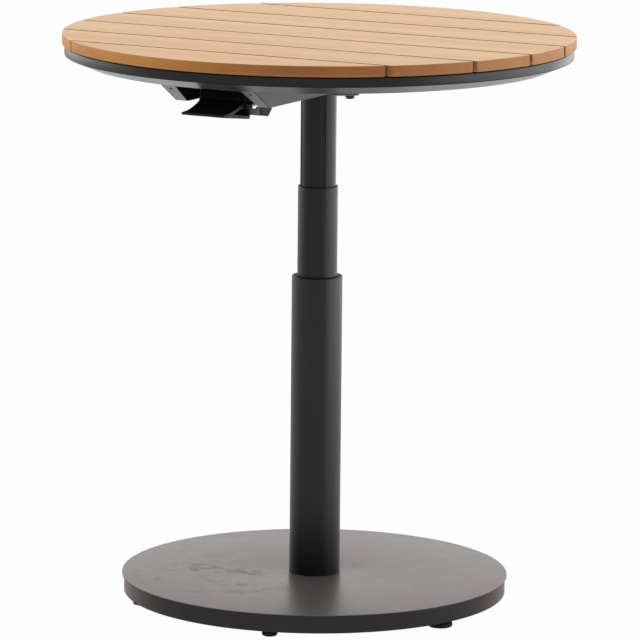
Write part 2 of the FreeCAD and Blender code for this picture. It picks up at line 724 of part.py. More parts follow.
def build_column():
    tube("lower_tube", D.lower_tube_radius, LOWER_INNER, BASE_UNDER_TOP, LOWER_RIM)
    bush_bore = D.middle_tube_radius + D.slide_gap
    sleeve("lower_bush", LOWER_INNER, bush_bore, LOWER_BUSH_BOTTOM, LOWER_BUSH_TOP)

    tube("middle_tube", D.middle_tube_radius, MIDDLE_INNER, MIDDLE_TUBE_BOTTOM, MIDDLE_RIM)
    slider_radius = LOWER_INNER - D.slide_gap
    sleeve("middle_slider", slider_radius, D.middle_tube_radius,
           MIDDLE_TUBE_BOTTOM, MIDDLE_SLIDER_TOP)

    # The middle bush carries four keys that run in the upper tube's grooves.
    owner = body("middle_bush")
    bore = D.upper_tube_radius + D.slide_gap
    liner = outline(sketch_on(owner, "XZ_Plane"), [
        (bore, MIDDLE_BUSH_BOTTOM),
        (MIDDLE_INNER, MIDDLE_BUSH_BOTTOM),
        (MIDDLE_INNER, MIDDLE_BUSH_TOP),
        (bore, MIDDLE_BUSH_TOP),
    ])
    revolution(owner, liner)
    key_half = D.upper_groove_width / 2 - D.slide_gap
    key_tip = D.upper_tube_radius - D.upper_groove_depth + D.slide_gap
    key_sketch = sketch_on(owner, "XY_Plane", MIDDLE_BUSH_BOTTOM, turn=45)
    rectangle(key_sketch, key_tip, (bore + MIDDLE_INNER) / 2, -key_half, key_half)
    key = pad(owner, key_sketch, D.middle_bush_length)
    polar_pattern(owner, key, as_size(4))
    keep(owner, "middle_bush")

    # Four grooves run the whole length of the upper tube, and a slot in its top lets
    # the push rod in.
    owner = body("upper_tube")
    wall = outline(sketch_on(owner, "XZ_Plane"), [
        (UPPER_INNER, UPPER_TUBE_BOTTOM),
        (D.upper_tube_radius, UPPER_TUBE_BOTTOM),
        (D.upper_tube_radius, PLATE_BOTTOM),
        (UPPER_INNER, PLATE_BOTTOM),
    ])
    revolution(owner, wall)
    groove_half = D.upper_groove_width / 2
    groove_sketch = sketch_on(owner, "XY_Plane", PLATE_BOTTOM, turn=45)
    rectangle(groove_sketch, D.upper_tube_radius - D.upper_groove_depth,
              D.upper_tube_radius + D.upper_groove_depth, -groove_half, groove_half)
    groove = pocket(owner, groove_sketch, PLATE_BOTTOM - UPPER_TUBE_BOTTOM)
    polar_pattern(owner, groove, as_size(4))
    slot_sketch = sketch_on(owner, "XY_Plane", PLATE_BOTTOM)
    rectangle(slot_sketch, -D.rod_slot_half_width, D.rod_slot_half_width,
              -(D.upper_tube_radius + D.upper_groove_depth), -UPPER_INNER / 2)
    pocket(owner, slot_sketch, PLATE_BOTTOM - ROD_AXIS_Z + D.rod_slot_half_width)
    keep(owner, "upper_tube")

    sleeve("upper_slider", MIDDLE_INNER - D.slide_gap, D.upper_tube_radius,
           UPPER_TUBE_BOTTOM, UPPER_SLIDER_TOP)


# ---------------------------------------------------------------- gas spring


def build_gas_spring():
    bore = D.cylinder_radius - D.cylinder_wall
    foot = BASE_UNDER_TOP
    turned("gas_cylinder", [
        (ORIGIN, foot - D.stud_length),
        (D.stud_radius, foot - D.stud_length),
        (D.stud_radius, foot),
        (D.cylinder_radius, foot),
        (D.cylinder_radius, CYLINDER_TOP),
        (D.rod_radius + D.rod_gap, CYLINDER_TOP),
        (D.rod_radius + D.rod_gap, CYLINDER_TOP - D.cylinder_gland),
        (bore, CYLINDER_TOP - D.cylinder_gland),
        (bore, foot + D.cylinder_floor),
        (ORIGIN, foot + D.cylinder_floor),
    ])
    nut_top = BASE_UNDER_TOP - D.flange_thickness
    cut("cylinder_nut", hexagon(D.nut_radius, D.nut_height, z=nut_top - D.nut_height),
        [cylinder(D.stud_radius + D.screw_clearance, D.nut_height, z=nut_top - D.nut_height)])

    pin_bore = D.pin_radius + D.pin_gap
    turned("piston_rod", [
        (ORIGIN, PISTON_BOTTOM),
        (D.rod_neck_radius, PISTON_BOTTOM),
        (D.rod_neck_radius, PISTON_TOP),
        (D.rod_radius, PISTON_TOP),
        (D.rod_radius, BRIDGE_BOTTOM),
        (D.rod_neck_radius, BRIDGE_BOTTOM),
        (D.rod_neck_radius, ROD_TOP),
        (pin_bore, ROD_TOP),
        (pin_bore, ROD_TOP - D.pin_bore_depth),
        (ORIGIN, ROD_TOP - D.pin_bore_depth),
    ])
    neck_hole = D.rod_neck_radius + D.screw_clearance
    sleeve("piston", bore - D.piston_gap, neck_hole, PISTON_BOTTOM, PISTON_TOP)
    sleeve("rod_bridge", UPPER_INNER, neck_hole, BRIDGE_BOTTOM, BRIDGE_TOP)
    cut("rod_nut", hexagon(D.nut_radius, D.nut_height, z=BRIDGE_TOP),
        [cylinder(neck_hole, D.nut_height, z=BRIDGE_TOP)])
    turned("valve_pin", [
        (ORIGIN, PIN_TOP - D.pin_length),
        (D.pin_radius, PIN_TOP - D.pin_length),
        (D.pin_radius, PIN_TOP),
        (ORIGIN, PIN_TOP),
    ])


# ---------------------------------------------------------------- top


def build_pan():
    owner = body("top_pan")
    section = outline(sketch_on(owner, "XZ_Plane"), [
        (ORIGIN, PAN_BOTTOM),
        (PAN_FLAT, PAN_BOTTOM),
        (RING_RADIUS, RING_BOTTOM),
        (RING_INNER, RING_BOTTOM),
        (PAN_FLAT_INNER, PAN_FLOOR),
        (ORIGIN, PAN_FLOOR),
    ])
    revolution(owner, section)
    holes = sketch_on(owner, "XY_Plane", PAN_FLOOR)
    for x, y in MOUNT_SPOTS:
        circle(holes, x, y, D.mount_bolt_radius + D.screw_clearance)
    for x, y in PAN_BOLT_SPOTS:
        circle(holes, x, y, D.pan_bolt_radius + D.screw_clearance)
    for x, y in HOUSING_SCREW_SPOTS + SMALL_SCREW_SPOTS:
        circle(holes, x, y, D.housing_screw_radius + D.screw_clearance)
    drain_circle = (PAN_FLAT + RING_RADIUS) / 2
    circle(holes, drain_circle * sine(D.drain_angle), -drain_circle * cosine(D.drain_angle),
           D.drain_radius)
    pocket(owner, holes, D.bevel_drop, both_sides=True)
    keep(owner, "top_pan")

    sleeve("edge_ring", RING_RADIUS, RING_INNER, RING_BOTTOM, RING_TOP)


def build_battens():
    """Box battens across the boards, with their ends cut to the slope of the pan."""
    for side, step in BATTENS.items():
        name = f"batten_{side}"
        x = D.batten_spacing * step
        outer_x = D.batten_spacing * abs(step) + D.batten_width / 2
        low_end = root(PAN_FLAT_INNER * PAN_FLAT_INNER - outer_x * outer_x) - D.batten_end_gap
        high_end = root(RING_INNER * RING_INNER - outer_x * outer_x) - D.batten_end_gap
        owner = body(name)
        side_view = outline(sketch_on(owner, "YZ_Plane", x), [
            (-low_end, PAN_FLOOR),
            (low_end, PAN_FLOOR),
            (high_end, RING_BOTTOM),
            (high_end, WOOD_BOTTOM),
            (-high_end, WOOD_BOTTOM),
            (-high_end, RING_BOTTOM),
        ])
        pad(owner, side_view, D.batten_width, both_sides=True)
        bore = outline(sketch_on(owner, "YZ_Plane", x), [
            (-D.top_radius, PAN_FLOOR + D.batten_wall),
            (D.top_radius, PAN_FLOOR + D.batten_wall),
            (D.top_radius, WOOD_BOTTOM - D.batten_wall),
            (-D.top_radius, WOOD_BOTTOM - D.batten_wall),
        ])
        pocket(owner, bore, D.batten_width - D.batten_wall * 2, both_sides=True)
        screws = sketch_on(owner, "XY_Plane", WOOD_BOTTOM)
        for number in range(int(D.board_count.value)):
            hole = D.board_screw_radius + D.screw_clearance
            circle(screws, x, board_screw_y(number), hole)
        pocket(owner, screws, D.batten_wall * 1.5)
        if step:
            bolts = sketch_on(owner, "XY_Plane", PAN_FLOOR)
            for ahead in SIDES:
                hole = D.pan_bolt_radius + D.screw_clearance
                circle(bolts, x, PAN_BOLT_REACH * ahead, hole)
            pocket(owner, bolts, D.batten_wall * 1.5, up=True)
        keep(owner, name)


def build_boards():
    for number in range(int(D.board_count.value)):
        name = f"board_{number + 1}"
        low, high = board_span(number)
        owner = body(name)
        face = sketch_on(owner, "XY_Plane", WOOD_BOTTOM)
        square = D.top_radius * D.top_radius
        low_half = root(square - low * low) if number > 0 else None
        last = int(D.board_count.value) - 1
        high_half = root(square - high * high) if number < last else None
        if low_half is None:
            outline(face, [(-high_half, high, D.top_radius), (high_half, high)])
        elif high_half is None:
            outline(face, [(low_half, low, D.top_radius), (-low_half, low)])
        else:
            outline(face, [
                (-low_half, low),
                (low_half, low, D.top_radius),
                (high_half, high),
                (-high_half, high, D.top_radius),
            ])
        plank = pad(owner, face, D.board_thickness)
        top = D.table_height.value

        def on_top(edge):
            return all(abs(vertex.Z - top) < 0.001 for vertex in edge.Vertexes)

        round_edges(owner, plank, D.board_ease, on_top, "Chamfer")
        pilots = sketch_on(owner, "XY_Plane", WOOD_BOTTOM)
        for step in BATTENS.values():
            circle(pilots, D.batten_spacing * step, board_screw_y(number),
                   D.board_screw_radius + D.screw_clearance)
        pocket(owner, pilots, D.board_screw_bite + D.screw_clearance, up=True)
        keep(owner, name)


def build_top_fasteners():
    head_top = WOOD_BOTTOM - D.batten_wall
    screw_spots = [
        (D.batten_spacing * step, board_screw_y(number))
        for number in range(int(D.board_count.value)) for step in BATTENS.values()
    ]
    turned_group("board_screws", [
        (ORIGIN, head_top - D.board_screw_head_height),
        (D.board_screw_head_radius, head_top - D.board_screw_head_height),
        (D.board_screw_head_radius, head_top),
        (D.board_screw_radius, head_top),
        (D.board_screw_radius, WOOD_BOTTOM + D.board_screw_bite),
        (ORIGIN, WOOD_BOTTOM + D.board_screw_bite),
    ], screw_spots)

    button = D.pan_bolt_head_height
    turned_group("pan_bolts", [
        (ORIGIN, PAN_BOTTOM - button),
        (D.pan_bolt_head_radius - button / 2, PAN_BOTTOM - button, button / 2),
        (D.pan_bolt_head_radius, PAN_BOTTOM - button / 2),
        (D.pan_bolt_head_radius, PAN_BOTTOM),
        (D.pan_bolt_radius, PAN_BOTTOM),
        (D.pan_bolt_radius, PAN_BOTTOM + D.pan_bolt_length),
        (ORIGIN, PAN_BOTTOM + D.pan_bolt_length),
    ], PAN_BOLT_SPOTS)

    bar_top = PAN_FLOOR + D.backing_bar_thickness
    half = D.mount_plate_side / 2
    for side, step in (("left", -1), ("right", 1)):
        centre = D.mount_bolt_pitch / 2 * step
        bar = block((centre - D.backing_bar_width / 2, centre + D.backing_bar_width / 2),
                    (-half, half), (PAN_FLOOR, bar_top))
        holes = [
            cylinder(D.mount_bolt_radius + D.screw_clearance, D.backing_bar_thickness, x, y,
                     PAN_FLOOR)
            for x, y in MOUNT_SPOTS if x.value * step > 0
        ]
        cut(f"backing_bar_{side}", bar, holes)

    heads = []
    for x, y in MOUNT_SPOTS:
        head_bottom = PLATE_BOTTOM - D.mount_bolt_head_height
        heads.append(hexagon(D.mount_bolt_head_radius, D.mount_bolt_head_height, x, y,
                             head_bottom))
        heads.append(cylinder(D.mount_bolt_radius, bar_top - PLATE_BOTTOM, x, y, PLATE_BOTTOM))
    fused("mount_bolts", heads)

    owner = body("mount_plate")
    face = rectangle(sketch_on(owner, "XY_Plane", PLATE_BOTTOM), -half, half, -half, half)
    plate = pad(owner, face, D.mount_plate_thickness)
    round_edges(owner, plate, D.mount_plate_corner, lambda edge: along(edge, "z"))
    holes = sketch_on(owner, "XY_Plane", PAN_BOTTOM)
    for x, y in MOUNT_SPOTS:
        circle(holes, x, y, D.mount_bolt_radius + D.screw_clearance)
    pocket(owner, holes, D.mount_plate_thickness)
    keep(owner, "mount_plate")


# ---------------------------------------------------------------- release housing


def build_housing():
    """A folded tray, open to the pan above, with a mouth at the front for the lever."""
    name = "release_housing"
    owner = body(name)
    bottom = PAN_BOTTOM - D.housing_depth
    front_foot = -(D.housing_front - D.housing_slope)
    side_view = outline(sketch_on(owner, "YZ_Plane"), [
        (-D.housing_front, PAN_BOTTOM),
        (front_foot, bottom),
        (D.housing_back, bottom),
        (D.housing_back, PAN_BOTTOM),
    ])
    solid = pad(owner, side_view, D.housing_half_width * 2, both_sides=True)
    fold_y = front_foot.value
    fold_z = bottom.value

    def is_fold(edge):
        spot = edge.Vertexes[0].Point
        return along(edge, "x") and abs(spot.y - fold_y) + abs(spot.z - fold_z) < 0.01

    bend = round_edges(owner, solid, D.housing_bend, is_fold)
    DOC.recompute()
    lid = PAN_BOTTOM.value
    lids = [
        f"Face{number}" for number, face in enumerate(bend.Shape.Faces, start=1)
        if abs(face.BoundBox.ZMin - lid) < 0.01
    ]
    tray = owner.newObject("PartDesign::Thickness", name + "_tray")
    tray.Base = (bend, lids)
    bind(tray, "Value", D.housing_sheet)
    tray.Mode = 0
    tray.Join = 1
    tray.Reversed = True
    DOC.recompute()

    mouth_back = D.housing_opening - D.housing_front
    top_half = D.housing_half_width - D.housing_strip
    foot_half = top_half + D.housing_strip_taper
    mouth = outline(sketch_on(owner, "XY_Plane", PAN_BOTTOM), [
        (-top_half, -D.housing_front),
        (top_half, -D.housing_front),
        (foot_half, front_foot),
        (foot_half, mouth_back),
        (-foot_half, mouth_back),
        (-foot_half, front_foot),
    ])
    pocket(owner, mouth, D.housing_depth + D.housing_sheet)

    column = circle(sketch_on(owner, "XY_Plane", bottom), 0, 0,
                    D.upper_tube_radius + D.housing_sheet)
    pocket(owner, column, D.housing_sheet, up=True)

    flange_front = front_foot + D.housing_flange
    for across in SIDES:
        near = (D.housing_half_width - D.housing_sheet) * across
        far = (D.housing_half_width + D.housing_flange) * across
        left, right = (far, near) if across < 0 else (near, far)
        flange = rectangle(sketch_on(owner, "XY_Plane", PAN_BOTTOM), left, right,
                           flange_front, D.housing_back)
        pad(owner, flange, D.housing_sheet, down=True)
    holes = sketch_on(owner, "XY_Plane", PAN_BOTTOM)
    for x, y in HOUSING_SCREW_SPOTS:
        circle(holes, x, y, D.housing_screw_radius + D.screw_clearance)
    pocket(owner, holes, D.housing_sheet)
    hanging = sketch_on(owner, "XY_Plane", PAN_BOTTOM)
    for across in SIDES:
        strip_centre = D.housing_half_width - D.housing_strip / 2
        circle(hanging, strip_centre * across, -D.hanging_hole_reach, D.hanging_hole_radius)
    pocket(owner, hanging, D.housing_depth / 2)
    keep(owner, name)

    def small_screws(name, face, spots):
        turned_group(name, [
            (ORIGIN, face - D.housing_screw_head_height),
            (D.housing_screw_head_radius, face - D.housing_screw_head_height),
            (D.housing_screw_head_radius, face),
            (D.housing_screw_radius, face),
            (D.housing_screw_radius, face + D.housing_screw_length),
            (ORIGIN, face + D.housing_screw_length),
        ], spots)

    small_screws("housing_screws", PAN_BOTTOM - D.housing_sheet, HOUSING_SCREW_SPOTS)
    small_screws("bracket_screws", PAN_BOTTOM - D.bracket_sheet, SMALL_SCREW_SPOTS)


# ---------------------------------------------------------------- release lever


def build_lever():
    """A moulded paddle: a scooped upper side, and a pocket open at each side."""
    owner = body("release_lever")

    def at_pivot(y, z):
        return (PIVOT_Y + y, PIVOT_Z + z)

    tip_top = D.lever_tip_thickness - D.lever_tip_drop
    crest = D.lever_horn + D.lever_crest
    side_view = outline(sketch_on(owner, "YZ_Plane", D.lever_shift), [
        at_pivot(-D.lever_reach, -D.lever_tip_drop),
        at_pivot(D.lever_heel_back, -D.lever_heel_drop),
        at_pivot(D.lever_boss, D.lever_boss / 3),
        at_pivot(D.lever_crest_back, D.lever_boss * 0.8),
        at_pivot(D.lever_crest_back, crest),
        at_pivot(-D.lever_crest_back, crest),
        at_pivot(-D.lever_scoop_back, D.lever_scoop_rise) + (-D.lever_scoop_radius,),
        at_pivot(-D.lever_reach, tip_top),
    ])
    paddle = pad(owner, side_view, D.lever_half_width * 2, both_sides=True)
    tip_y = (PIVOT_Y - D.lever_reach).value
    heel_y = (PIVOT_Y + D.lever_heel_back).value

    def is_worn_edge(edge):
        y = edge.Vertexes[0].Point.y
        return along(edge, "x") and (abs(y - tip_y) < 0.01 or abs(y - heel_y) < 0.01)

    round_edges(owner, paddle, D.lever_round, is_worn_edge)
    pocket_depth = D.lever_half_width - D.lever_web
    for across in SIDES:
        level = LEVER_LEFT_X if across < 0 else LEVER_RIGHT_X
        hollow = outline(sketch_on(owner, "YZ_Plane", level), [
            at_pivot(-D.lever_pocket_reach, D.lever_wall * 0.3 - D.lever_tip_drop),
            at_pivot(D.lever_heel_back - D.lever_wall * 1.2,
                     D.lever_wall * 1.15 - D.lever_heel_drop),
            at_pivot(D.lever_boss * 0.77, -D.lever_boss * 0.85),
            at_pivot(-D.lever_boss * 0.85, -D.lever_boss * 0.7),
            at_pivot(-D.lever_boss * 1.5, D.lever_wall * 0.25),
        ])
        pocket(owner, hollow, pocket_depth, up=across < 0)
    bore = circle(sketch_on(owner, "YZ_Plane", D.lever_shift), PIVOT_Y, PIVOT_Z,
                  D.pivot_pin_radius + D.pin_gap)
    pocket(owner, bore, D.lever_half_width * 2, both_sides=True)
    keep(owner, "release_lever")


def hung_plate(name, inner_x, across, plate_corners, front, back, spot):
    """A plate that hangs from the pan, with a screw flange folded away from the lever."""
    owner = body(name)
    plate_view = outline(sketch_on(owner, "YZ_Plane", inner_x), plate_corners)
    plate = pad(owner, plate_view, D.bracket_sheet, down=across < 0)
    lowest = sorted({round(corner[1].value, 3) for corner in plate_corners})[:2]
    front_y = front.value

    def is_lower_corner(edge):
        spot = edge.Vertexes[0].Point
        if name == "lever_stop" and abs(spot.y - front_y) < 0.01:
            return False
        return along(edge, "x") and round(spot.z, 3) in lowest

    round_edges(owner, plate, D.bracket_round, is_lower_corner)
    outer_x = inner_x + (D.bracket_sheet + D.bracket_flange) * across
    left, right = (outer_x, inner_x) if across < 0 else (inner_x, outer_x)
    flange = rectangle(sketch_on(owner, "XY_Plane", PAN_BOTTOM), left, right, front, back)
    pad(owner, flange, D.bracket_sheet, down=True)
    screw = sketch_on(owner, "XY_Plane", PAN_BOTTOM)
    circle(screw, *spot, D.housing_screw_radius + D.screw_clearance)
    pocket(owner, screw, D.bracket_sheet)
    return owner


def build_lever_mount():
    front = PIVOT_Y - D.bracket_ear
    back = PIVOT_Y + D.bracket_back
    bore_radius = D.pivot_pin_radius + D.pin_gap
    sides = (("left", -1, LEFT_BRACKET_X), ("right", 1, RIGHT_BRACKET_X))
    for number, (side, across, inner_x) in enumerate(sides):
        name = f"pivot_bracket_{side}"
        owner = hung_plate(name, inner_x, across, [
            (front, PIVOT_Z - D.bracket_ear),
            (PIVOT_Y + D.bracket_ear, PIVOT_Z - D.bracket_ear),
            (back, PAN_BOTTOM - D.bracket_flange / 2),
            (back, PAN_BOTTOM),
            (front, PAN_BOTTOM),
        ], front, back, BRACKET_SCREW_SPOTS[number])
        bore = circle(sketch_on(owner, "YZ_Plane", inner_x), PIVOT_Y, PIVOT_Z, bore_radius)
        pocket(owner, bore, D.bracket_sheet, up=across > 0)
        keep(owner, name)

    owner = hung_plate("lever_stop", STOP_X, 1, [
        (STOP_FRONT, PIVOT_Z - D.stop_toe_drop),
        (STOP_BACK, PIVOT_Z - D.stop_tail_drop),
        (STOP_BACK, PAN_BOTTOM),
        (STOP_FRONT, PAN_BOTTOM),
    ], STOP_FRONT, STOP_BACK, BRACKET_SCREW_SPOTS[2])
    face = rectangle(sketch_on(owner, "XY_Plane", PIVOT_Z - D.pivot_head_radius),
                     LEVER_RIGHT_X - D.stop_lap, STOP_X + D.bracket_sheet,
                     STOP_FRONT, STOP_FRONT + D.bracket_sheet)
    pad(owner, face, D.stop_toe_drop - D.pivot_head_radius, down=True)
    keep(owner, "lever_stop")

    owner = body("pivot_pin")
    left_face = LEFT_BRACKET_X - D.bracket_sheet
    right_face = RIGHT_BRACKET_X + D.bracket_sheet + D.spring_room
    shank = circle(sketch_on(owner, "YZ_Plane", left_face - D.pivot_head_height),
                   PIVOT_Y, PIVOT_Z, D.pivot_pin_radius)
    pad(owner, shank, right_face - left_face + D.pivot_head_height * 2)
    for level, down in ((left_face, True), (right_face, False)):
        head = circle(sketch_on(owner, "YZ_Plane", level), PIVOT_Y, PIVOT_Z,
                      D.pivot_head_radius)
        pad(owner, head, D.pivot_head_height, down=down)
    keep(owner, "pivot_pin")

    build_return_spring()


def build_return_spring():
    """A torsion spring round the pin, between the right pivot bracket and the pin's head."""
    radius = D.pivot_pin_radius + D.spring_clearance + D.spring_wire
    end_room = D.spring_clearance + D.spring_wire
    length = D.spring_room - end_room * 2
    helix = DOC.addObject("Part::Helix", "return_spring_path")
    bind(helix, "Radius", radius)
    bind(helix, "Height", length)
    bind(helix, "Pitch", length / D.spring_turns)
    wire = DOC.addObject("Part::Circle", "return_spring_wire")
    bind(wire, "Radius", D.spring_wire)
    wire.Placement = FreeCAD.Placement(Vector(), FreeCAD.Rotation(Vector(1, 0, 0), 90))
    bind(wire, "Placement.Base.x", radius)
    DOC.recompute()
    coil = DOC.addObject("Part::Sweep", "return_spring_coil")
    coil.Sections = [wire]
    coil.Spine = (helix, [f"Edge{number + 1}" for number in range(len(helix.Shape.Edges))])
    coil.Solid = True
    coil.Frenet = True
    coil.Placement = FreeCAD.Placement(Vector(), FreeCAD.Rotation(Vector(0, 1, 0), 90))
    place(coil, RIGHT_BRACKET_X + D.bracket_sheet + end_room, PIVOT_Y, PIVOT_Z)
    keep(coil, "return_spring")


# ---------------------------------------------------------------- release rod and rocker


def build_release_train():
    rod_front = PIVOT_Y + D.lever_crest_back + D.contact_gap
    rod_back = ROCKER_Y - D.rocker_thickness / 2 - D.contact_gap
    owner = body("push_rod")
    tip = D.push_rod_radius - D.push_rod_round
    section = outline(sketch_on(owner, "YZ_Plane"), [
        (rod_front, ROD_AXIS_Z),
        (rod_back, ROD_AXIS_Z),
        (rod_back, ROD_AXIS_Z + tip),
        (rod_back - D.push_rod_round, ROD_AXIS_Z + D.push_rod_radius),
        (rod_front + D.push_rod_round, ROD_AXIS_Z + D.push_rod_radius),
        (rod_front, ROD_AXIS_Z + tip),
    ])
    bar = feature(owner, "Revolution", section)
    bar.ReferenceAxis = (section, ["Edge1"])
    bar.Angle = 360
    keep(owner, "push_rod")

    hole = D.push_rod_radius + D.slide_gap
    half = D.guide_width / 2
    for side, reach, spot in (("front", D.guide_front_reach, GUIDE_SCREW_SPOTS[0]),
                              ("rear", D.guide_rear_reach, GUIDE_SCREW_SPOTS[1])):
        name = f"rod_guide_{side}"
        owner = body(name)
        angle = outline(sketch_on(owner, "YZ_Plane"), [
            (-reach, ROD_AXIS_Z - half),
            (D.guide_sheet - reach, ROD_AXIS_Z - half),
            (D.guide_sheet - reach, PAN_BOTTOM - D.guide_sheet),
            (D.guide_sheet + D.guide_foot - reach, PAN_BOTTOM - D.guide_sheet),
            (D.guide_sheet + D.guide_foot - reach, PAN_BOTTOM),
            (-reach, PAN_BOTTOM),
        ])
        pad(owner, angle, D.guide_width, both_sides=True)
        eye = circle(sketch_on(owner, "XZ_Plane", reach), 0, ROD_AXIS_Z, hole)
        pocket(owner, eye, D.guide_sheet)
        screw = sketch_on(owner, "XY_Plane", PAN_BOTTOM)
        circle(screw, *spot, D.housing_screw_radius + D.screw_clearance)
        pocket(owner, screw, D.guide_sheet)
        keep(owner, name)

    # The rocker is a bell crank: pushed back at its top, it presses the valve pin down.
    owner = body("valve_rocker")
    half = D.rocker_thickness / 2
    sole = D.contact_gap - D.rocker_drop
    crank = outline(sketch_on(owner, "YZ_Plane"), [
        (ROCKER_Y - half * 1.6, ROCKER_Z - half),
        (ROCKER_Y, ROCKER_Z - half * 1.8),
        (ROCKER_Y + half, ROCKER_Z + sole),
        (D.rocker_tail, ROCKER_Z + sole),
        (D.rocker_tail, ROCKER_Z + half / 2),
        (ROCKER_Y + half * 1.5, ROCKER_Z + half),
        (ROCKER_Y + half, ROD_AXIS_Z + half),
        (ROCKER_Y - half, ROD_AXIS_Z + half),
        (ROCKER_Y - half, ROCKER_Z + half * 2),
        (ROCKER_Y - half * 1.6, ROCKER_Z + half),
    ])
    pad(owner, crank, D.rocker_thickness, both_sides=True)
    eye = circle(sketch_on(owner, "YZ_Plane"), ROCKER_Y, ROCKER_Z,
                 D.rocker_pin_radius + D.pin_gap)
    pocket(owner, eye, D.rocker_thickness, both_sides=True)
    keep(owner, "valve_rocker")

    owner = body("rocker_bracket")
    inner = half + D.rocker_ear_gap
    ear_half = D.rocker_pin_radius + D.rocker_ear - D.rocker_ear_gap
    ear = rectangle(sketch_on(owner, "YZ_Plane"), ROCKER_Y - ear_half, ROCKER_Y + ear_half,
                    ROCKER_Z - ear_half, PLATE_BOTTOM)
    pad(owner, ear, (inner + D.rocker_ear) * 2, both_sides=True)
    gap = rectangle(sketch_on(owner, "YZ_Plane"), ROCKER_Y - ear_half * 2,
                    ROCKER_Y + ear_half * 2, ROCKER_Z - ear_half * 2,
                    PLATE_BOTTOM - D.housing_sheet)
    pocket(owner, gap, inner * 2, both_sides=True)
    bore = circle(sketch_on(owner, "YZ_Plane"), ROCKER_Y, ROCKER_Z,
                  D.rocker_pin_radius + D.pin_gap)
    pocket(owner, bore, (inner + D.rocker_ear) * 2, both_sides=True)
    keep(owner, "rocker_bracket")

    owner = body("rocker_pin")
    shank = circle(sketch_on(owner, "YZ_Plane"), ROCKER_Y, ROCKER_Z, D.rocker_pin_radius)
    pad(owner, shank, (inner + D.rocker_ear) * 2, both_sides=True)
    keep(owner, "rocker_pin")


# ---------------------------------------------------------------- build and write


def check(items):
    """Stop on any object that failed and on any sub-part without a sound solid."""
    for item in DOC.Objects:
        if "Invalid" in item.State or "Error" in item.State:
            raise RuntimeError(f"{item.Label}: {item.State}")
    for item in items:
        if item.Shape.isNull() or not item.Shape.isValid() or not item.Shape.Solids:
            raise RuntimeError(f"{item.Label}: no valid solid")


def write(items):
    os.makedirs("parts", exist_ok=True)
    for item in items:
        item.Shape.exportStep(f"parts/{item.Label}.step")
        solids = len(item.Shape.Solids)
        print(f"{item.Label:22s} {solids:3d} solid(s) {item.Shape.Volume / 1000:10.2f} cm3")


build_base()
build_column()
build_gas_spring()
build_pan()
build_battens()
build_boards()
build_top_fasteners()
build_housing()
build_lever()
build_lever_mount()
build_release_train()
DOC.recompute()
check(PIECES)
write(PIECES)
print(len(PIECES), "sub-parts written")
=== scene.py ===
# %% [markdown]
# # A round garden table on a telescoping column
#
# The CAD frame holds every part at its real size. This lesson dresses it: finer surfaces
# where the eye rests, a procedural finish on everything, and a quiet studio around it.
# Each cell says what a piece is on the real table before it is made. Sizes of pieces are in
# millimetres and become metres when a mesh is written. The camera, the lamps and the
# places that a finish knows are in metres from the start.

# %% Load the frame
import json
import math

import bpy
import numpy as np
from mathutils import Matrix, Vector


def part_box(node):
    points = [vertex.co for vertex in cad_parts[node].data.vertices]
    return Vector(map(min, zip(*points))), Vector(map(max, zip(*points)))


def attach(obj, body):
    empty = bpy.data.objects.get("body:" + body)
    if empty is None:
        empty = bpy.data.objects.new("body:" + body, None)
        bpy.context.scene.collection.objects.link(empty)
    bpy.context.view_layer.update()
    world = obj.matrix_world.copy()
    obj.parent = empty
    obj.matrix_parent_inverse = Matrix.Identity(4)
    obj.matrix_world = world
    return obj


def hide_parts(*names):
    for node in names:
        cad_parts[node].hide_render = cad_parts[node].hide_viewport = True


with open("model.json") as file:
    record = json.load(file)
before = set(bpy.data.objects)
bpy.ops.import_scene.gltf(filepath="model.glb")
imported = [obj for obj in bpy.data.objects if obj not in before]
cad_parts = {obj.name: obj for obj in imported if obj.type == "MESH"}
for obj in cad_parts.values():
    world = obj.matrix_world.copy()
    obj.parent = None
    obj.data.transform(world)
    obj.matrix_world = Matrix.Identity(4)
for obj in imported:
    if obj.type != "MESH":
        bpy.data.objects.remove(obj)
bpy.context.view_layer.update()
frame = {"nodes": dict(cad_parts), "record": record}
nodes = frame["nodes"]
rows = {row["node"]: row for row in frame["record"]["subparts"]}

# %% [markdown]
# ## Camera
#
# A long lens from across a terrace: far away and a little above the table top, so the
# round top is a thin ellipse and the column's lines stay upright. The focal length is
# given in pixels, and the sensor turns it into millimetres.

# %% The camera
TURN = math.radians(28.6)
PITCH = math.radians(10.25)
ROLL = math.radians(0.55)
DISTANCE = 6.51
EYE_HEIGHT = 1.541
IMAGE_SIDE = 640
FOCAL_PIXELS = 5121
SENSOR = 36
AXIS_OFFSET = 3.3 / FOCAL_PIXELS


def placed_object(name, data):
    """A new object in the scene."""
    made = bpy.data.objects.new(name, data)
    bpy.context.scene.collection.objects.link(made)
    return made


def make_camera():
    """Stand at the eye point, look along the heading, tip down by the pitch, and roll
    about the line of sight."""
    lens = bpy.data.cameras.new("camera")
    lens.sensor_width = SENSOR
    lens.lens = FOCAL_PIXELS / IMAGE_SIDE * SENSOR
    lens.clip_start, lens.clip_end = 0.5, 100
    camera = placed_object("camera", lens)
    heading = TURN - AXIS_OFFSET
    forward = Vector((-math.sin(heading) * math.cos(PITCH),
                      math.cos(heading) * math.cos(PITCH), -math.sin(PITCH)))
    right = Vector((math.cos(heading), math.sin(heading), 0))
    upward = right.cross(forward)
    turn = Matrix((right, upward, -forward)).transposed().to_4x4()
    eye = Vector((math.sin(TURN) * DISTANCE, -math.cos(TURN) * DISTANCE, EYE_HEIGHT))
    camera.matrix_world = Matrix.Translation(eye) @ turn @ Matrix.Rotation(ROLL, 4, "Z")
    bpy.context.scene.camera = camera
    return camera


camera = make_camera()
print("lens", round(camera.data.lens, 1), "mm at", DISTANCE, "m")

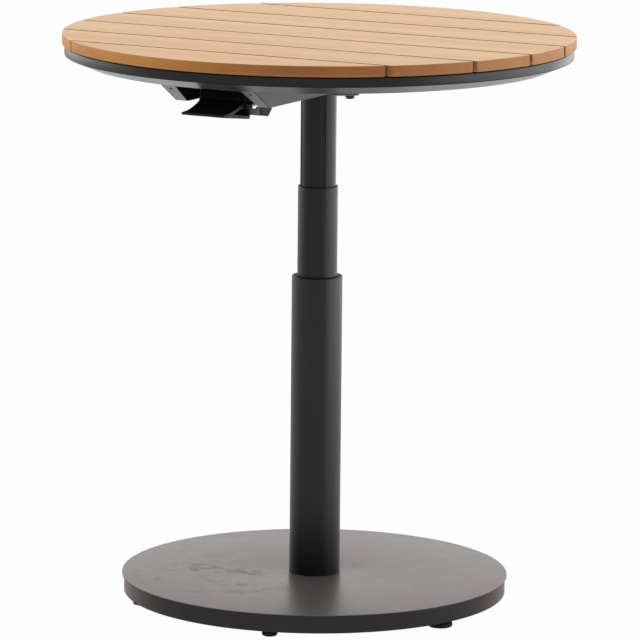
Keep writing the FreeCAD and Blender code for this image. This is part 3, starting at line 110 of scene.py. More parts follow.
# %% [markdown]
# ## Writing materials as maths
#
# A finish is easier to read as a formula than as a web of wires. One small class holds an
# output socket and lets Python's operators add the Math nodes, so that `1 - mask` works
# as well as `mask * 0.5`.

# %% Socket arithmetic
class Value:
    """An output socket that takes part in Python arithmetic."""

    def __init__(self, socket, tree):
        self.socket = socket
        self.tree = tree

    def math(self, operation, *others, swap=False):
        node = self.tree.nodes.new("ShaderNodeMath")
        node.operation = operation
        items = (*others, self) if swap else (self, *others)
        for place, item in enumerate(items):
            feed(self.tree, item, node.inputs[place])
        return Value(node.outputs[0], self.tree)

    def __add__(self, other):
        return self.math("ADD", other)

    def __radd__(self, other):
        return self.math("ADD", other, swap=True)

    def __sub__(self, other):
        return self.math("SUBTRACT", other)

    def __rsub__(self, other):
        return self.math("SUBTRACT", other, swap=True)

    def __mul__(self, other):
        return self.math("MULTIPLY", other)

    def clamp(self):
        return self.math("MAXIMUM", 0.0).math("MINIMUM", 1.0)


def feed(tree, item, socket):
    """Link a Value to a socket, or write a plain number or colour on it."""
    if isinstance(item, Value):
        tree.links.new(item.socket, socket)
    elif hasattr(socket.default_value, "__len__") and len(socket.default_value) == 4:
        socket.default_value = (*item[:3], 1)
    else:
        socket.default_value = item


# %% [markdown]
# A `Finish` is one material being written. Its `node` method adds any node: first the
# settings, then the values or links of its sockets. The helpers after it are the few
# moves that the finishes repeat: where a point lies, noise in millimetres, a soft step up
# or down, a blend of two colours, and a bump.

# %% The finish builder
class Finish:
    """A material under construction: its tree, its shader and a way to add nodes."""

    def __init__(self, name):
        self.material = bpy.data.materials.new(name)
        self.material.use_nodes = True
        self.tree = self.material.node_tree
        self.shader = self.tree.nodes["Principled BSDF"]
        place = self.tree.nodes.new("ShaderNodeTexCoord")
        self.place = Value(place.outputs["Object"], self.tree)

    def node(self, kind, settings=None, out=0, **inputs):
        made = self.tree.nodes.new("ShaderNode" + kind)
        for name, value in (settings or {}).items():
            setattr(made, name, value)
        for name, value in inputs.items():
            socket = made.inputs[int(name[1:]) if name[0] == "i" and name[1:].isdigit()
                                 else name.replace("_", " ")]
            feed(self.tree, value, socket)
        return Value(made.outputs[out], self.tree)

    def axis(self, letter, vector=None):
        """The X, Y or Z part of a direction, or of the object coordinates."""
        return self.node("SeparateXYZ", out="XYZ".index(letter), Vector=vector or self.place)

    def normal(self):
        """The direction that the surface faces."""
        return self.node("NewGeometry", out=1)

    def vector(self, operation, first, second=(0, 0, 0), out=0):
        """Vector maths. Out 0 is a vector and out 1 a number."""
        return self.node("VectorMath", {"operation": operation}, out=out, i0=first, i1=second)

    def away_from(self, spot):
        """Distance from a spot."""
        return self.vector("LENGTH", self.vector("SUBTRACT", self.place, spot), out=1)

    def off_axis(self):
        """Distance from the column's axis."""
        return self.vector("LENGTH", self.vector("MULTIPLY", self.place, (1, 1, 0)), out=1)

    def leftward(self):
        """How far to the camera's left of the column a point lies."""
        return self.vector("DOT_PRODUCT", self.place,
                           (-math.cos(TURN), -math.sin(TURN), 0), out=1)

    def stretched(self, x=1.0, y=1.0, vector=None):
        """Coordinates multiplied along x and y, to draw a pattern out along one of them."""
        return self.node("Mapping", Vector=vector or self.place, Scale=(x, y, 1))

    def noise(self, size, detail=2.0, rough=0.5, vector=None):
        """Noise from 0 to 1 whose blobs are about `size` millimetres across."""
        return self.node("TexNoise", Vector=vector or self.place, Scale=1000.0 / size,
                         Detail=detail, Roughness=rough)

    def step(self, value, low, high):
        """0 below low, 1 above high, and smooth between."""
        return self.node("MapRange", {"interpolation_type": "SMOOTHSTEP"}, Value=value,
                         From_Min=low, From_Max=high)

    def fall(self, value, low, high):
        """1 below low, 0 above high, and smooth between."""
        return 1 - self.step(value, low, high)

    def blend(self, factor, first, second, how="MIX"):
        """One colour over another by a factor."""
        return self.node("Mix", {"data_type": "RGBA", "blend_type": how}, out=2,
                         i0=factor, i6=first, i7=second)

    def tinted(self, color, by):
        """A colour multiplied by another."""
        return self.blend(1.0, color, by, "MULTIPLY")

    def bump(self, height, strength, depth):
        """Tilt the surface by a height pattern; depth is in millimetres."""
        self.set(Normal=self.node("Bump", Height=height, Strength=strength,
                                  Distance=depth / 1000.0))

    def orange_peel(self, strength):
        """The very fine waviness of a powder coat."""
        self.bump(self.noise(0.55, detail=1), strength, 0.06)

    def set(self, **inputs):
        for name, value in inputs.items():
            feed(self.tree, value, self.shader.inputs[name.replace("_", " ")])


def scaled(color, factor, added=0.0):
    """A colour times a factor, plus a little grey."""
    return tuple(part * factor + added for part in color)


print("finish builder ready")

# %% [markdown]
# ## Teak
#
# Oiled teak is honey brown, and darker on its cut edges. Its grain runs along the board:
# broad bands of tone, finer growth lines, and short dark pores, all three noise in object
# coordinates drawn out along the board. A number on each plank slides the pattern, so that
# no two neighbours continue each other, and makes the two front boards, cut nearer the
# heart, a touch redder. The left side of the rim is painted paler, a painted light where
# light from the left falls on it. The gaps between the boards and their undersides are
# painted darkest, a painted shade.

# %% Teak
def make_teak():
    """Bands, lines and pores, then cut edges, painted light on the left, painted shade in
    gaps.
    """
    wood = Finish("teak")
    plank = wood.node("Attribute", {"attribute_name": "plank"}, out=2)
    shift = wood.node("CombineXYZ", X=plank * 0.731, Y=plank * 0.37, Z=plank * 0.11)
    place = wood.vector("ADD", wood.place, shift)
    drift = wood.noise(140, detail=2, vector=wood.stretched(0.35, vector=place))
    bent = wood.vector("ADD", place, wood.node("CombineXYZ", Y=(drift - 0.5) * 0.022,
                                               X=drift * 0.01))
    along = wood.stretched(0.045, vector=bent)
    bands = wood.noise(26, detail=3, rough=0.55, vector=along)
    lines = wood.noise(3.4, detail=3, rough=0.6, vector=along)
    pores = wood.noise(0.9, detail=1, vector=wood.stretched(0.055, vector=bent))
    pale, honey, brown = (0.74, 0.475, 0.25), (0.67, 0.395, 0.19), (0.47, 0.22, 0.075)
    tone = wood.blend(wood.step(bands, 0.32, 0.7), pale, honey)
    tone = wood.blend(wood.step(lines, 0.52, 0.78) * 0.3, tone, brown)
    tone = wood.blend(wood.step(pores, 0.62, 0.78) * 0.3, tone, (0.20, 0.08, 0.025))
    edge = wood.fall(wood.axis("Z", wood.normal()).math("ABSOLUTE"), 0.25, 0.75)
    heart = (1.2 - plank * 0.4).clamp()
    redder = wood.tinted(tone, (1.0, 0.84, 0.64))
    tone = wood.blend(heart * (0.2 + edge * 0.6), tone, redder)
    tone = wood.blend(edge, tone, wood.tinted(tone, (0.55, 0.345, 0.145)))
    # Painted light: the rim's faces on the camera's left are made paler, as if lit from the
    # left.
    painted_left_light = wood.tinted(tone, (1.88, 2.2, 2.1))
    tone = wood.blend(edge * wood.step(wood.leftward(), 0.02, 0.24), tone, painted_left_light)
    # Painted shade: side faces inside the outline, along the gaps, and the board undersides
    # go dark.
    inside = wood.fall(wood.off_axis(), 0.3235, 0.3265)
    below = wood.fall(wood.axis("Z"), 0.7234, 0.7243)
    tone = wood.blend((inside * edge + below * 0.6).clamp(), tone, (0.20, 0.08, 0.027))
    wood.set(Base_Color=tone, Roughness=0.42 + lines * 0.14 + edge * 0.12,
             Specular_IOR_Level=0.5)
    wood.bump(lines * 0.6 - wood.step(pores, 0.6, 0.8), 0.5, 0.12)
    return wood.material


teak = make_teak()
print("teak has", len(teak.node_tree.nodes), "nodes")

# %% [markdown]
# ## Painted and plated metal
#
# The frame is powder coated: a matt skin with a very fine orange peel, so its gloss is
# soft and its highlights are broad. Cloudy noise makes the gloss wander a little, which
# is what fingerprints and rain do. The base has a warmer and glossier coat with a little
# metal flake in it, which mirrors the column at a low angle, and a patch of scuffs where
# shoes rest. Its upright lip is painted near black and metallic, a touch rougher, a painted
# shade on the faces that take less light than its top. The foot of an upright tube is
# painted darker and more metallic near the base, a painted shade.

# %% Powder coats
SCUFFED_SPOT = (-0.087, -0.081, 0.032)


def make_coat(name, color, gloss, level, peel=0.5, marks=0.05, dirt=0.0, lip=None, foot_shade=0.0):
    """Colour, roughness and specular level; peel is the bump, marks the wander of the
    roughness, dirt the strength of the smudges, lip the near-black colour painted on upright
    faces as painted shade, and the last argument how strongly the foot of an upright tube is
    painted darker and more metallic, a painted shade."""
    coat = Finish(name)
    clouds = coat.noise(38, detail=4, rough=0.6)
    shade = coat.blend(coat.step(clouds, 0.3, 0.75) * 0.35, color, scaled(color, 0.82))
    rough = gloss + (clouds - 0.5) * marks * 2
    if dirt:
        smear = coat.noise(52, detail=3, rough=0.65, vector=coat.stretched(0.6, 1.2))
        spots = coat.noise(19, detail=3, rough=0.6)
        patch = 1.1 - coat.step(coat.away_from(SCUFFED_SPOT), 0.05, 0.14)
        mark = coat.step(smear, 0.42, 0.62) * coat.step(spots, 0.45, 0.62) * patch
        shade = coat.blend(mark * dirt, shade, (0.012, 0.011, 0.010))
        rough = rough + mark * 0.14
    # Painted shade: upright faces take the near-black lip colour and turn metallic, darker
    # than the top.
    if lip:
        flat = coat.step(coat.axis("Z", coat.normal()), 0.2, 0.8)
        shade = coat.blend(flat, lip, shade)
        rough = rough + (1 - flat) * 0.08
        coat.set(Metallic=1 - flat * 0.75, Specular_Tint=(1.0, 0.89, 0.895))
    # Painted shade: near the base an upright tube goes near black and partly metallic.
    if foot_shade:
        low = coat.fall(coat.axis("Z"), 0.02, 0.15)
        shade = coat.blend(low, shade, (0.003, 0.003, 0.003))
        coat.set(Metallic=low * foot_shade)
    coat.set(Base_Color=shade, Roughness=rough, Specular_IOR_Level=level)
    coat.orange_peel(0.35 * peel)
    return coat.material


coats = {
    "anthracite_coat": make_coat("anthracite_coat", (0.009, 0.0085, 0.008), 0.34, 0.25),
    "tube_coat": make_coat("tube_coat", (0.010, 0.0095, 0.010), 0.38, 0.29, foot_shade=0.65),
    "middle_coat": make_coat("middle_coat", (0.010, 0.0095, 0.010), 0.38, 0.24),
    "upper_coat": make_coat("upper_coat", (0.010, 0.0095, 0.010), 0.33, 0.20),
    "base_coat": make_coat("base_coat", (0.148, 0.126, 0.126), 0.31, 0.90, marks=0.03,
                           dirt=0.22, lip=(0.031, 0.030, 0.030)),
    "strap_coat": make_coat("strap_coat", (0.15, 0.145, 0.145), 0.45, 0.3),
    "cylinder_coat": make_coat("cylinder_coat", (0.012, 0.012, 0.013), 0.22, 0.5, peel=0.2),
}
print(len(coats), "coats")

# %% [markdown]
# Three coats know where they are. The lever's housing is a folded tray: its sloping front
# is painted pale, a touch darker on the right, and its sides near black, as painted light
# and shade. Its holes, its folds and its inside are painted near black, a painted shade,
# and so is the patch of the pan that the tray covers. The stop bracket is near black, a
# painted shade, but for a painted light on the lug's front, where the lever rests.

# %% Coats with a place
DRAIN_HOLE = (0.0490, -0.3091, 0.704)


def make_housing_coat():
    """Painted light and shade: pale where the face slopes to the front, darker on the right
    half, near black on the sides, along the fold, round the holes and inside. A wall's inner
    face is the one whose normal points back towards x = 0."""
    coat = Finish("housing_coat")
    normal = coat.normal()
    across, upward = coat.axis("X", normal), coat.axis("Z", normal)
    x, y = coat.axis("X"), coat.axis("Y")
    # Painted light and shade: faces sloping to the front are pale, the right half less so,
    # sides near black.
    front = coat.fall(across.math("ABSOLUTE"), 0.2, 0.6) * coat.fall(y, -0.235, -0.17)
    # Painted shade: inner and upward faces, the fold line and the rims of the holes go near
    # black.
    inside = (coat.step(across * x * -1.0, 0.01, 0.04) + coat.step(upward, 0.1, 0.4)).clamp()
    fold_shade = coat.step(x.math("ABSOLUTE"), 0.0650, 0.0655) * front
    clouds = coat.noise(30, detail=4, rough=0.6)
    pale = coat.blend(clouds * 0.5, (0.36, 0.35, 0.345), (0.27, 0.265, 0.26))
    pale = coat.blend(coat.step(x, 0.0, 0.05), pale,
                      coat.blend(clouds * 0.5, (0.25, 0.236, 0.236), (0.19, 0.18, 0.18)))
    tone = coat.blend(front, (0.010, 0.0095, 0.009), pale)
    middle = coat.node("CombineXYZ", X=x.math("ABSOLUTE") - 0.0565, Y=(y + 0.2785) * 1.3)
    hole = coat.fall(coat.vector("LENGTH", middle, out=1), 0.0022, 0.0027)
    painted_shade = (inside + fold_shade + hole).clamp()
    coat.set(Base_Color=coat.blend(painted_shade, tone, (0.003, 0.003, 0.003)),
             Roughness=0.4 + clouds * 0.08 + painted_shade * 0.5, Specular_IOR_Level=0.3)
    coat.orange_peel(0.2)
    return coat.material


def make_pan_coat():
    """The powder coat of the pan: near black within the tray's footprint, on upward faces and
    round the drain hole, a painted shade; paler beside the tray, a painted light; paler on a
    short stretch of the rim; partly metallic at the front, which darkens it, a painted shade."""
    coat = Finish("pan_coat")
    x, y = coat.axis("X").math("ABSOLUTE"), coat.axis("Y")
    # Painted shade: the tray's footprint, upward faces and the drain hole's rim go near
    # black.
    tray = (coat.step(0.0655 - x, 0.0, 0.001)
            * coat.step(y, -0.2885, -0.2875) * coat.step(0.05 - y, 0.0, 0.001))
    inside = (tray + coat.step(coat.axis("Z", coat.normal()), 0.1, 0.4)
              + coat.fall(coat.away_from(DRAIN_HOLE), 0.0036, 0.0044)).clamp()
    clouds = coat.noise(38, detail=4, rough=0.6)
    tone = coat.blend(clouds, (0.007, 0.0065, 0.006), (0.005, 0.0048, 0.0045))
    # Painted light: a paler patch on the bevel beside the tray.
    painted_bevel_light = coat.fall(x, 0.05, 0.10) * coat.fall(y, -0.296, -0.290)
    tone = coat.blend(painted_bevel_light, tone, (0.080, 0.076, 0.078))
    # A paler short stretch of the rim, straight towards the camera.
    sideways = coat.leftward().math("ABSOLUTE")
    rim_pale_stretch = coat.step(coat.off_axis(), 0.296, 0.300) * coat.fall(sideways, 0.008, 0.028)
    tone = coat.blend(rim_pale_stretch, tone, (0.110, 0.106, 0.108))
    # Painted shade: partly metallic over the near-black colour at the front, which darkens
    # its reflection.
    front = coat.fall(sideways, 0.06, 0.14)
    coat.set(Base_Color=coat.blend(inside, tone, (0.002, 0.002, 0.002)),
             Metallic=front * 0.33, Specular_Tint=(0.4, 0.4, 0.4),
             Roughness=0.23 + clouds * 0.06 + inside * 0.6, Specular_IOR_Level=0.75)
    coat.orange_peel(0.17)
    return coat.material


def make_bracket_coat():
    """Near black, a painted shade on the plate, with a painted light on the lug's front,
    where the paddle rests.
    """
    coat = Finish("bracket_coat")
    # Painted light on the lug's front; the near-black rest is a painted shade on the plate.
    lug_light = coat.fall(coat.axis("Y"), -0.2352, -0.2349)
    clouds = coat.noise(20, detail=3)
    tone = coat.blend(clouds, (0.030, 0.029, 0.028), (0.020, 0.0195, 0.019))
    coat.set(Base_Color=coat.blend(lug_light, tone, (0.30, 0.295, 0.29)),
             Roughness=0.55 + clouds * 0.1, Specular_IOR_Level=0.08)
    coat.orange_peel(0.2)
    return coat.material


placed = {"housing_coat": make_housing_coat(), "pan_coat": make_pan_coat(),
          "bracket_coat": make_bracket_coat()}
print(len(placed), "coats that know where they are")

# %% [markdown]
# Zinc plate is a thin bluish metal skin over rolled steel, with brushed streaks and a
# faint mottle. Chrome is the same idea polished: almost no roughness, and only a breath
# of variation. Cast iron is dull and pitted, so its bump does most of the work.

# %% Bare and plated metals
def make_zinc():
    zinc = Finish("zinc_steel")
    mottle = zinc.node("TexVoronoi", Vector=zinc.place, Scale=220.0, out=1)
    streak = zinc.noise(0.8, detail=2, vector=zinc.stretched(0.08))
    cells = zinc.node("SeparateColor", Color=mottle)
    tone = zinc.blend(cells * 0.5, (0.56, 0.57, 0.585), (0.43, 0.44, 0.455))
    zinc.set(Base_Color=zinc.blend(zinc.step(streak, 0.5, 0.8) * 0.3, tone,
                                   (0.62, 0.61, 0.56)),
             Metallic=1.0, Roughness=0.3 + cells * 0.12 + streak * 0.08)
    zinc.bump(streak, 0.2, 0.05)
    return zinc.material


def make_iron():
    iron = Finish("ballast_iron")
    lumps = iron.noise(3.5, detail=4, rough=0.7)
    rust = iron.noise(30, detail=4, rough=0.65)
    tone = iron.blend(lumps, (0.035, 0.034, 0.033), (0.085, 0.082, 0.08))
    iron.set(Base_Color=iron.blend(iron.step(rust, 0.55, 0.75) * 0.6, tone,
                                   (0.16, 0.07, 0.03)),
             Metallic=0.4, Roughness=0.62 + lumps * 0.25)
    iron.bump(lumps, 0.7, 0.5)
    return iron.material


def make_flecked(name, size, detail, first, second, metal, gloss, wander, bump=0.0):
    """One noise that mixes two colours, moves the roughness and raises the surface."""
    steel = Finish(name)
    fleck = steel.noise(size, detail=detail)
    steel.set(Base_Color=steel.blend(fleck, first, second), Metallic=metal,
              Roughness=gloss + fleck * wander)
    if bump:
        steel.bump(fleck, bump, 0.04)
    return steel.material


metals = {
    "zinc_steel": make_zinc(),
    "chromed_rod": make_flecked("chromed_rod", 9, 3, (0.74, 0.75, 0.76), (0.66, 0.67, 0.69),
                                metal=1.0, gloss=0.06, wander=0.06),
    "ballast_iron": make_iron(),
    "black_screw": make_flecked("black_screw", 1.2, 2, (0.012, 0.012, 0.013),
                                (0.03, 0.03, 0.032), metal=0.6, gloss=0.34, wander=0.15,
                                bump=0.2),
}
print(len(metals), "metals")

# %% [markdown]
# ## Plastics and rubber
#
# The lever is moulded in a tough black plastic with a spark-eroded grain, which scatters
# the light and turns its worn edges grey. The guide bushes are smoother. The feet are
# rubber: matt, slightly dusty, and a little lighter where they meet the floor.

# %% Plastics and rubber
def make_plastic(name, color, grain_size, depth, level):
    """A moulded grain of the given size and depth under a faint haze."""
    plastic = Finish(name)
    grain = plastic.noise(grain_size, detail=2, rough=0.6)
    haze = plastic.noise(22, detail=3)
    plastic.set(Base_Color=plastic.blend(haze * 0.6, color, scaled(color, 1.7, 0.002)),
                Roughness=0.5 + (haze - 0.5) * 0.12, Specular_IOR_Level=level)
    plastic.bump(grain, 0.5, depth)
    return plastic.material


def make_rubber():
    rubber = Finish("rubber")
    dust = rubber.noise(5, detail=3)
    sole = rubber.fall(rubber.axis("Z"), 0.0, 0.004)
    rubber.set(Base_Color=rubber.blend((dust * 0.5 + sole * 0.4).clamp(),
                                       (0.004, 0.004, 0.004), (0.012, 0.0115, 0.011)),
               Roughness=0.6 + dust * 0.2, Specular_IOR_Level=0.15)
    rubber.bump(dust, 0.4, 0.15)
    return rubber.material


plastics = {
    "lever_plastic": make_plastic("lever_plastic", (0.0055, 0.0052, 0.005), grain_size=0.6,
                                  depth=0.05, level=0.16),
    "slide_plastic": make_plastic("slide_plastic", (0.003, 0.003, 0.003), grain_size=1.4,
                                  depth=0.02, level=0.1),
    "rubber": make_rubber(),
}
finishes = {"teak": teak, **coats, **placed, **metals, **plastics}
print(len(finishes), "finishes")

# %% [markdown]
# Every part of the frame takes the finish that its record names. A few wear another: the
# housing and the pan have coats of their own, the return spring is black wire, and the
# pivot brackets, battens and backing bars wear the lever's black and the column's dark coat
# so that they read as dark as the shade around them, a painted shade.

# %% Finishes on the frame's own parts
OTHERS = {
    "housing_coat": ["release_housing"], "pan_coat": ["top_pan"],
    "black_screw": ["return_spring"],
    # Painted shade: these parts wear dark finishes so that they read as the shade around
    # them.
    "lever_plastic": ["pivot_bracket_left", "pivot_bracket_right"],
    "tube_coat": ["batten_left", "batten_centre", "batten_right", "backing_bar_left",
                  "backing_bar_right"],
}
for node, item in nodes.items():
    for place in item.material_slots:
        place.material = finishes[rows[node]["material_slot"]]
for finish, wearers in OTHERS.items():
    for node in wearers:
        nodes[node].material_slots[0].material = finishes[finish]
print(len(nodes), "nodes dressed,", sum(map(len, OTHERS.values())), "of them otherwise")

# %% [markdown]
# ## Surfaces from arrays
#
# Every new piece is a stack of closed loops: an array of rows by columns by three. A
# turned part, a plank and a moulded lever all fit that form, so one function gives any
# of them its faces. Loops run anticlockwise seen from the end of the stack, which makes
# the faces point outwards, and the two ends are closed by a flat face each. A new piece
# prints how well its box agrees with the box of the part that it stands for.

# %% Loops to a mesh
def unit(angle):
    """(cos t, sin t) for each angle."""
    return np.stack([np.cos(angle), np.sin(angle)], axis=-1)


def raised(line, level):
    """A flat line of points carried up to a level."""
    return np.column_stack([line, np.full(len(line), float(level))])


def stack_of(loops, ring=False):
    """Points and faces of a stack of closed loops. Face (i, j) joins points (i, j),
    (i, j+1), (i+1, j+1) and (i+1, j). The ends are closed, unless the stack is a ring."""
    loops = np.asarray(loops)
    rows, columns = loops.shape[:2]
    row, column = np.meshgrid(np.arange(rows if ring else rows - 1), np.arange(columns),
                              indexing="ij")
    after, beside = (row + 1) % rows, (column + 1) % columns
    corners = (row * columns + column, row * columns + beside,
               after * columns + beside, after * columns + column)
    faces = np.stack(corners, axis=-1).reshape(-1, 4).tolist()
    if not ring:
        faces.append(list(range(columns))[::-1])
        faces.append(list(range((rows - 1) * columns, rows * columns)))
    return loops.reshape(-1, 3), faces


def compare(made, replaced):
    """Print how far a new piece's box departs from the box of the nodes it stands for."""
    boxes = np.array([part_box(node) for node in replaced])
    points = np.empty(len(made.data.vertices) * 3)
    made.data.vertices.foreach_get("co", points)
    points = points.reshape(-1, 3)
    off = np.abs([points.min(0) - boxes[:, 0].min(0), points.max(0) - boxes[:, 1].max(0)])
    print(f"{made.name}: {len(points)} points, box within {off.max() * 1000:.2f} mm of",
          *replaced)


def piece(name, stacks, body, replaced=(), slot=None, finish=None, sharp=35):
    """One mesh from several stacks of points and faces, in millimetres, riding on a body.
    It wears its slot's finish unless another is named. Edges that turn more than `sharp`
    degrees stay crisp."""
    points, faces, first = [], [], 0
    for some_points, some_faces in stacks:
        points.append(np.asarray(some_points, float))
        faces += [[index + first for index in face] for face in some_faces]
        first += len(some_points)
    mesh = bpy.data.meshes.new(name)
    mesh.from_pydata(np.concatenate(points) / 1000.0, [], faces)
    mesh.validate()
    mesh.shade_smooth()
    mesh.set_sharp_from_angle(angle=math.radians(sharp))
    mesh.materials.append(finishes[finish or slot])
    made = placed_object(name, mesh)
    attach(made, body)
    if replaced:
        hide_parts(*replaced)
        compare(made, replaced)
    return made


def rounded(corners, steps=5):
    """A section through its corners (across, up, radius). A corner with a radius becomes
    an arc that touches both its sides: it starts radius / tan(half angle) before it."""
    line = []
    for number, corner in enumerate(corners):
        here = np.array(corner[:2], float)
        radius = corner[2] if len(corner) > 2 else 0
        if radius == 0:
            line.append(here[None])
            continue
        before = np.array(corners[number - 1][:2], float) - here
        after = np.array(corners[(number + 1) % len(corners)][:2], float) - here
        before /= np.linalg.norm(before)
        after /= np.linalg.norm(after)
        half = math.acos(np.clip(before @ after, -1, 1)) / 2
        reach = radius / math.tan(half)
        inward = (before + after) / np.linalg.norm(before + after)
        middle = here + inward * radius / math.sin(half)
        start = here + before * reach - middle
        end = here + after * reach - middle
        sweep = math.atan2(start[0] * end[1] - start[1] * end[0], start @ end)
        angle = np.linspace(0, sweep, steps)[:, None]
        line.append(middle + start * np.cos(angle)
                    + np.array([-start[1], start[0]]) * np.sin(angle))
    return np.concatenate(line)


def turned(section, spot=(0, 0), sides=96, ring=False):
    """Carry a section (radius, height) round a vertical axis at a spot:
    x = spot + r cos t, y = spot + r sin t, z = height."""
    angle = np.arange(sides) / sides * 2 * math.pi
    loops = [raised(spot + across * unit(angle), up) for across, up in section]
    return stack_of(loops, ring)


print("a turned test ring has", len(turned([(2, 0), (3, 0), (3, 1)], ring=True)[1]), "faces")

# %% [markdown]
# ## Sizes
#
# The sizes below are the ones that the finer surfaces share with the frame: levels above
# the floor, radii, and the pitch of the boards. The pivot is the lever's pin, as y and z.

# %% Levels and radii in millimetres
TABLE_TOP, TOP_RADIUS = 737.0, 329.0
BOARDS, BOARD_THICKNESS, BOARD_GAP = 7, 14.0, 6.0
OUTER_TRIM = 2.2
BOARD_PITCH = (2 * TOP_RADIUS + 2 * OUTER_TRIM + BOARD_GAP) / BOARDS
WOOD_BOTTOM = TABLE_TOP - BOARD_THICKNESS
RING_RADIUS, RING_WALL, RING_HEIGHT = TOP_RADIUS - 3, 4, 11.6
SHADOW_GAP, PAN_DEPTH, PLATE, PIVOT_DROP = 1.5, 11, 5, 23.3
RING_TOP = WOOD_BOTTOM - SHADOW_GAP
RING_BOTTOM = RING_TOP - RING_HEIGHT
PAN_BOTTOM = RING_BOTTOM - PAN_DEPTH
PLATE_BOTTOM = PAN_BOTTOM - PLATE
PIVOT = np.array([-249.0, PAN_BOTTOM - PIVOT_DROP])
BASE_TOP, COVER_SHEET = 32.0, 2.5
COVER_UNDERSIDE = BASE_TOP - COVER_SHEET
print("boards every", round(BOARD_PITCH, 2), "mm; pan bottom at", PAN_BOTTOM, "mm")

# %% [markdown]
# ## Boards
#
# Seven planks lie side by side under one round outline. A board's outline is what the
# disc leaves of a straight band, so it can be written down exactly. Shrinking both the
# disc and the band by the same amount gives the next loop in, and a stack of such loops
# with the right heights is a plank whose edges are eased all round.

# %% Board surfaces
def board_loop(number, inset, steps=40):
    """The band from low to high cut from a disc, both shrunk by the inset: an arc on the
    right from asin(low / R) to asin(high / R), then its mirror image on the left."""
    low = BOARD_PITCH * number - TOP_RADIUS - OUTER_TRIM + inset
    high = low + BOARD_PITCH - BOARD_GAP - 2 * inset
    radius = TOP_RADIUS - inset
    if number == 0:
        start = math.asin(high / radius)
        angle = np.linspace(math.pi - start, 2 * math.pi + start, 2 * steps)
    elif number == BOARDS - 1:
        start = math.asin(low / radius)
        angle = np.linspace(start, math.pi - start, 2 * steps)
    else:
        right = np.linspace(math.asin(low / radius), math.asin(high / radius), steps)
        angle = np.concatenate([right, math.pi - right[::-1]])
    return radius * unit(angle)


def board(number):
    """Loops of a plank: a small break below, straight sides, and a quarter round above."""
    turn = np.linspace(0, math.pi / 2, 6)
    ease, chamfer = 0.9, 0.6
    inset = np.concatenate([[chamfer, 0.0], ease * (1 - np.cos(turn))])
    height = np.concatenate([[0.0, chamfer], BOARD_THICKNESS - ease + ease * np.sin(turn)])
    loops = [raised(board_loop(number, gap), up + WOOD_BOTTOM)
             for gap, up in zip(inset, height)]
    made = piece(f"plank_{number + 1}", [stack_of(loops)], "upper",
                 [f"board_{number + 1}"], "teak", sharp=60)
    tone = made.data.attributes.new("plank", "FLOAT", "POINT")
    tone.data.foreach_set("value", np.full(len(made.data.vertices), float(number + 1)))


for number in range(BOARDS):
    board(number)

# %% [markdown]
# ## Edge ring and pan
#
# Under the boards a painted steel ring stands on a shallow pan, a disc whose rim slopes
# up to it. The pan is the frame's own part. The ring is a turned band with soft edges.

# %% The ring
ring_inside = RING_RADIUS - RING_WALL
ring_section = rounded([
    (ring_inside, RING_BOTTOM, 0.5), (RING_RADIUS, RING_BOTTOM, 0.9),
    (RING_RADIUS, RING_TOP, 0.9), (ring_inside, RING_TOP, 0.5)])
piece("rim_band", [turned(ring_section, sides=256, ring=True)], "upper", ["edge_ring"],
      "anthracite_coat")

# %% [markdown]
# ## Column tubes
#
# Three steel tubes slide in each other. The two outer ones are plain, and their upper
# rims are turned with a small radius that catches the light. Each rim stands half a
# millimetre above the plastic bush inside it, two millimetres lower than in the frame.

# %% The two outer tubes
def rolled_tube(name, node, body, finish, outer, wall, bottom, top):
    """A wall from outer - wall to outer, flat below and rounded by 0.8 and 0.7 mm above,
    carried round the column's axis."""
    section = rounded([(outer - wall, bottom), (outer, bottom), (outer, top, 0.8),
                       (outer - wall, top, 0.7)], steps=6)
    piece(name, [turned(section, sides=128, ring=True)], body, [node], "tube_coat", finish)


rolled_tube("lower_column", "lower_tube", "base", "tube_coat",
            outer=32.75, wall=2.0, bottom=COVER_UNDERSIDE, top=422.5)
rolled_tube("middle_column", "middle_tube", "middle", "middle_coat",
            outer=25.75, wall=1.6, bottom=311.7, top=539.8)

# %% [markdown]
# The upper tube is drawn with four guide grooves. Its outer wall is a function of the
# angle: the plain radius, less a groove whose sides fall along a smooth step. The tube
# has a slot at its top for the push rod, so the grid leaves those cells out and closes
# the opening with faces between the outer and the inner wall.

# %% The grooved tube
def smooth(value):
    value = np.clip(value, 0, 1)
    return value * value * (3 - 2 * value)


def grooved_tube(outer=23.0, wall=2.5, depth=1.2, half_width=3.1, side=0.7, slot=5.0):
    """r(t) = outer - depth * s, where s steps from 0 to 1 as the distance from a groove's
    middle, measured round the tube, falls from half_width by the width of its side."""
    near = np.linspace(-half_width - 0.3, half_width + 0.3, 25) / outer
    centres = math.pi / 4 + np.arange(4) * math.pi / 2
    slot_sides = np.array([-slot, slot]) / outer - math.pi / 2
    angle = np.sort(np.concatenate([(centres[:, None] + near).ravel(), slot_sides,
                                    np.linspace(0, 2 * math.pi, 97)[:-1]]) % (2 * math.pi))
    angle = angle[np.concatenate([[True], np.diff(angle) > 1e-4])]
    gap = np.abs((angle[:, None] - centres + math.pi) % (2 * math.pi) - math.pi) * outer
    radius = outer - depth * smooth((half_width - gap.min(axis=1)) / side)
    bottom, top = UPPER_TUBE_BOTTOM, PLATE_BOTTOM
    levels = [bottom, bottom + 80, 500, 560, 620, SLOT_BOTTOM, top]

    def skin(radius):
        """Points radius * (cos t, sin t) at every level."""
        line = unit(angle) * np.reshape(radius, (-1, 1))
        return np.stack([raised(line, up) for up in levels])

    across = (angle + math.pi / 2 + math.pi) % (2 * math.pi) - math.pi
    middle = (across + np.roll(across, -1)) / 2
    kept = np.ones((len(levels) - 1, len(angle)), bool)
    kept[-1] = np.abs(middle) * outer > slot
    return walled(skin(radius), skin(outer - wall), kept)


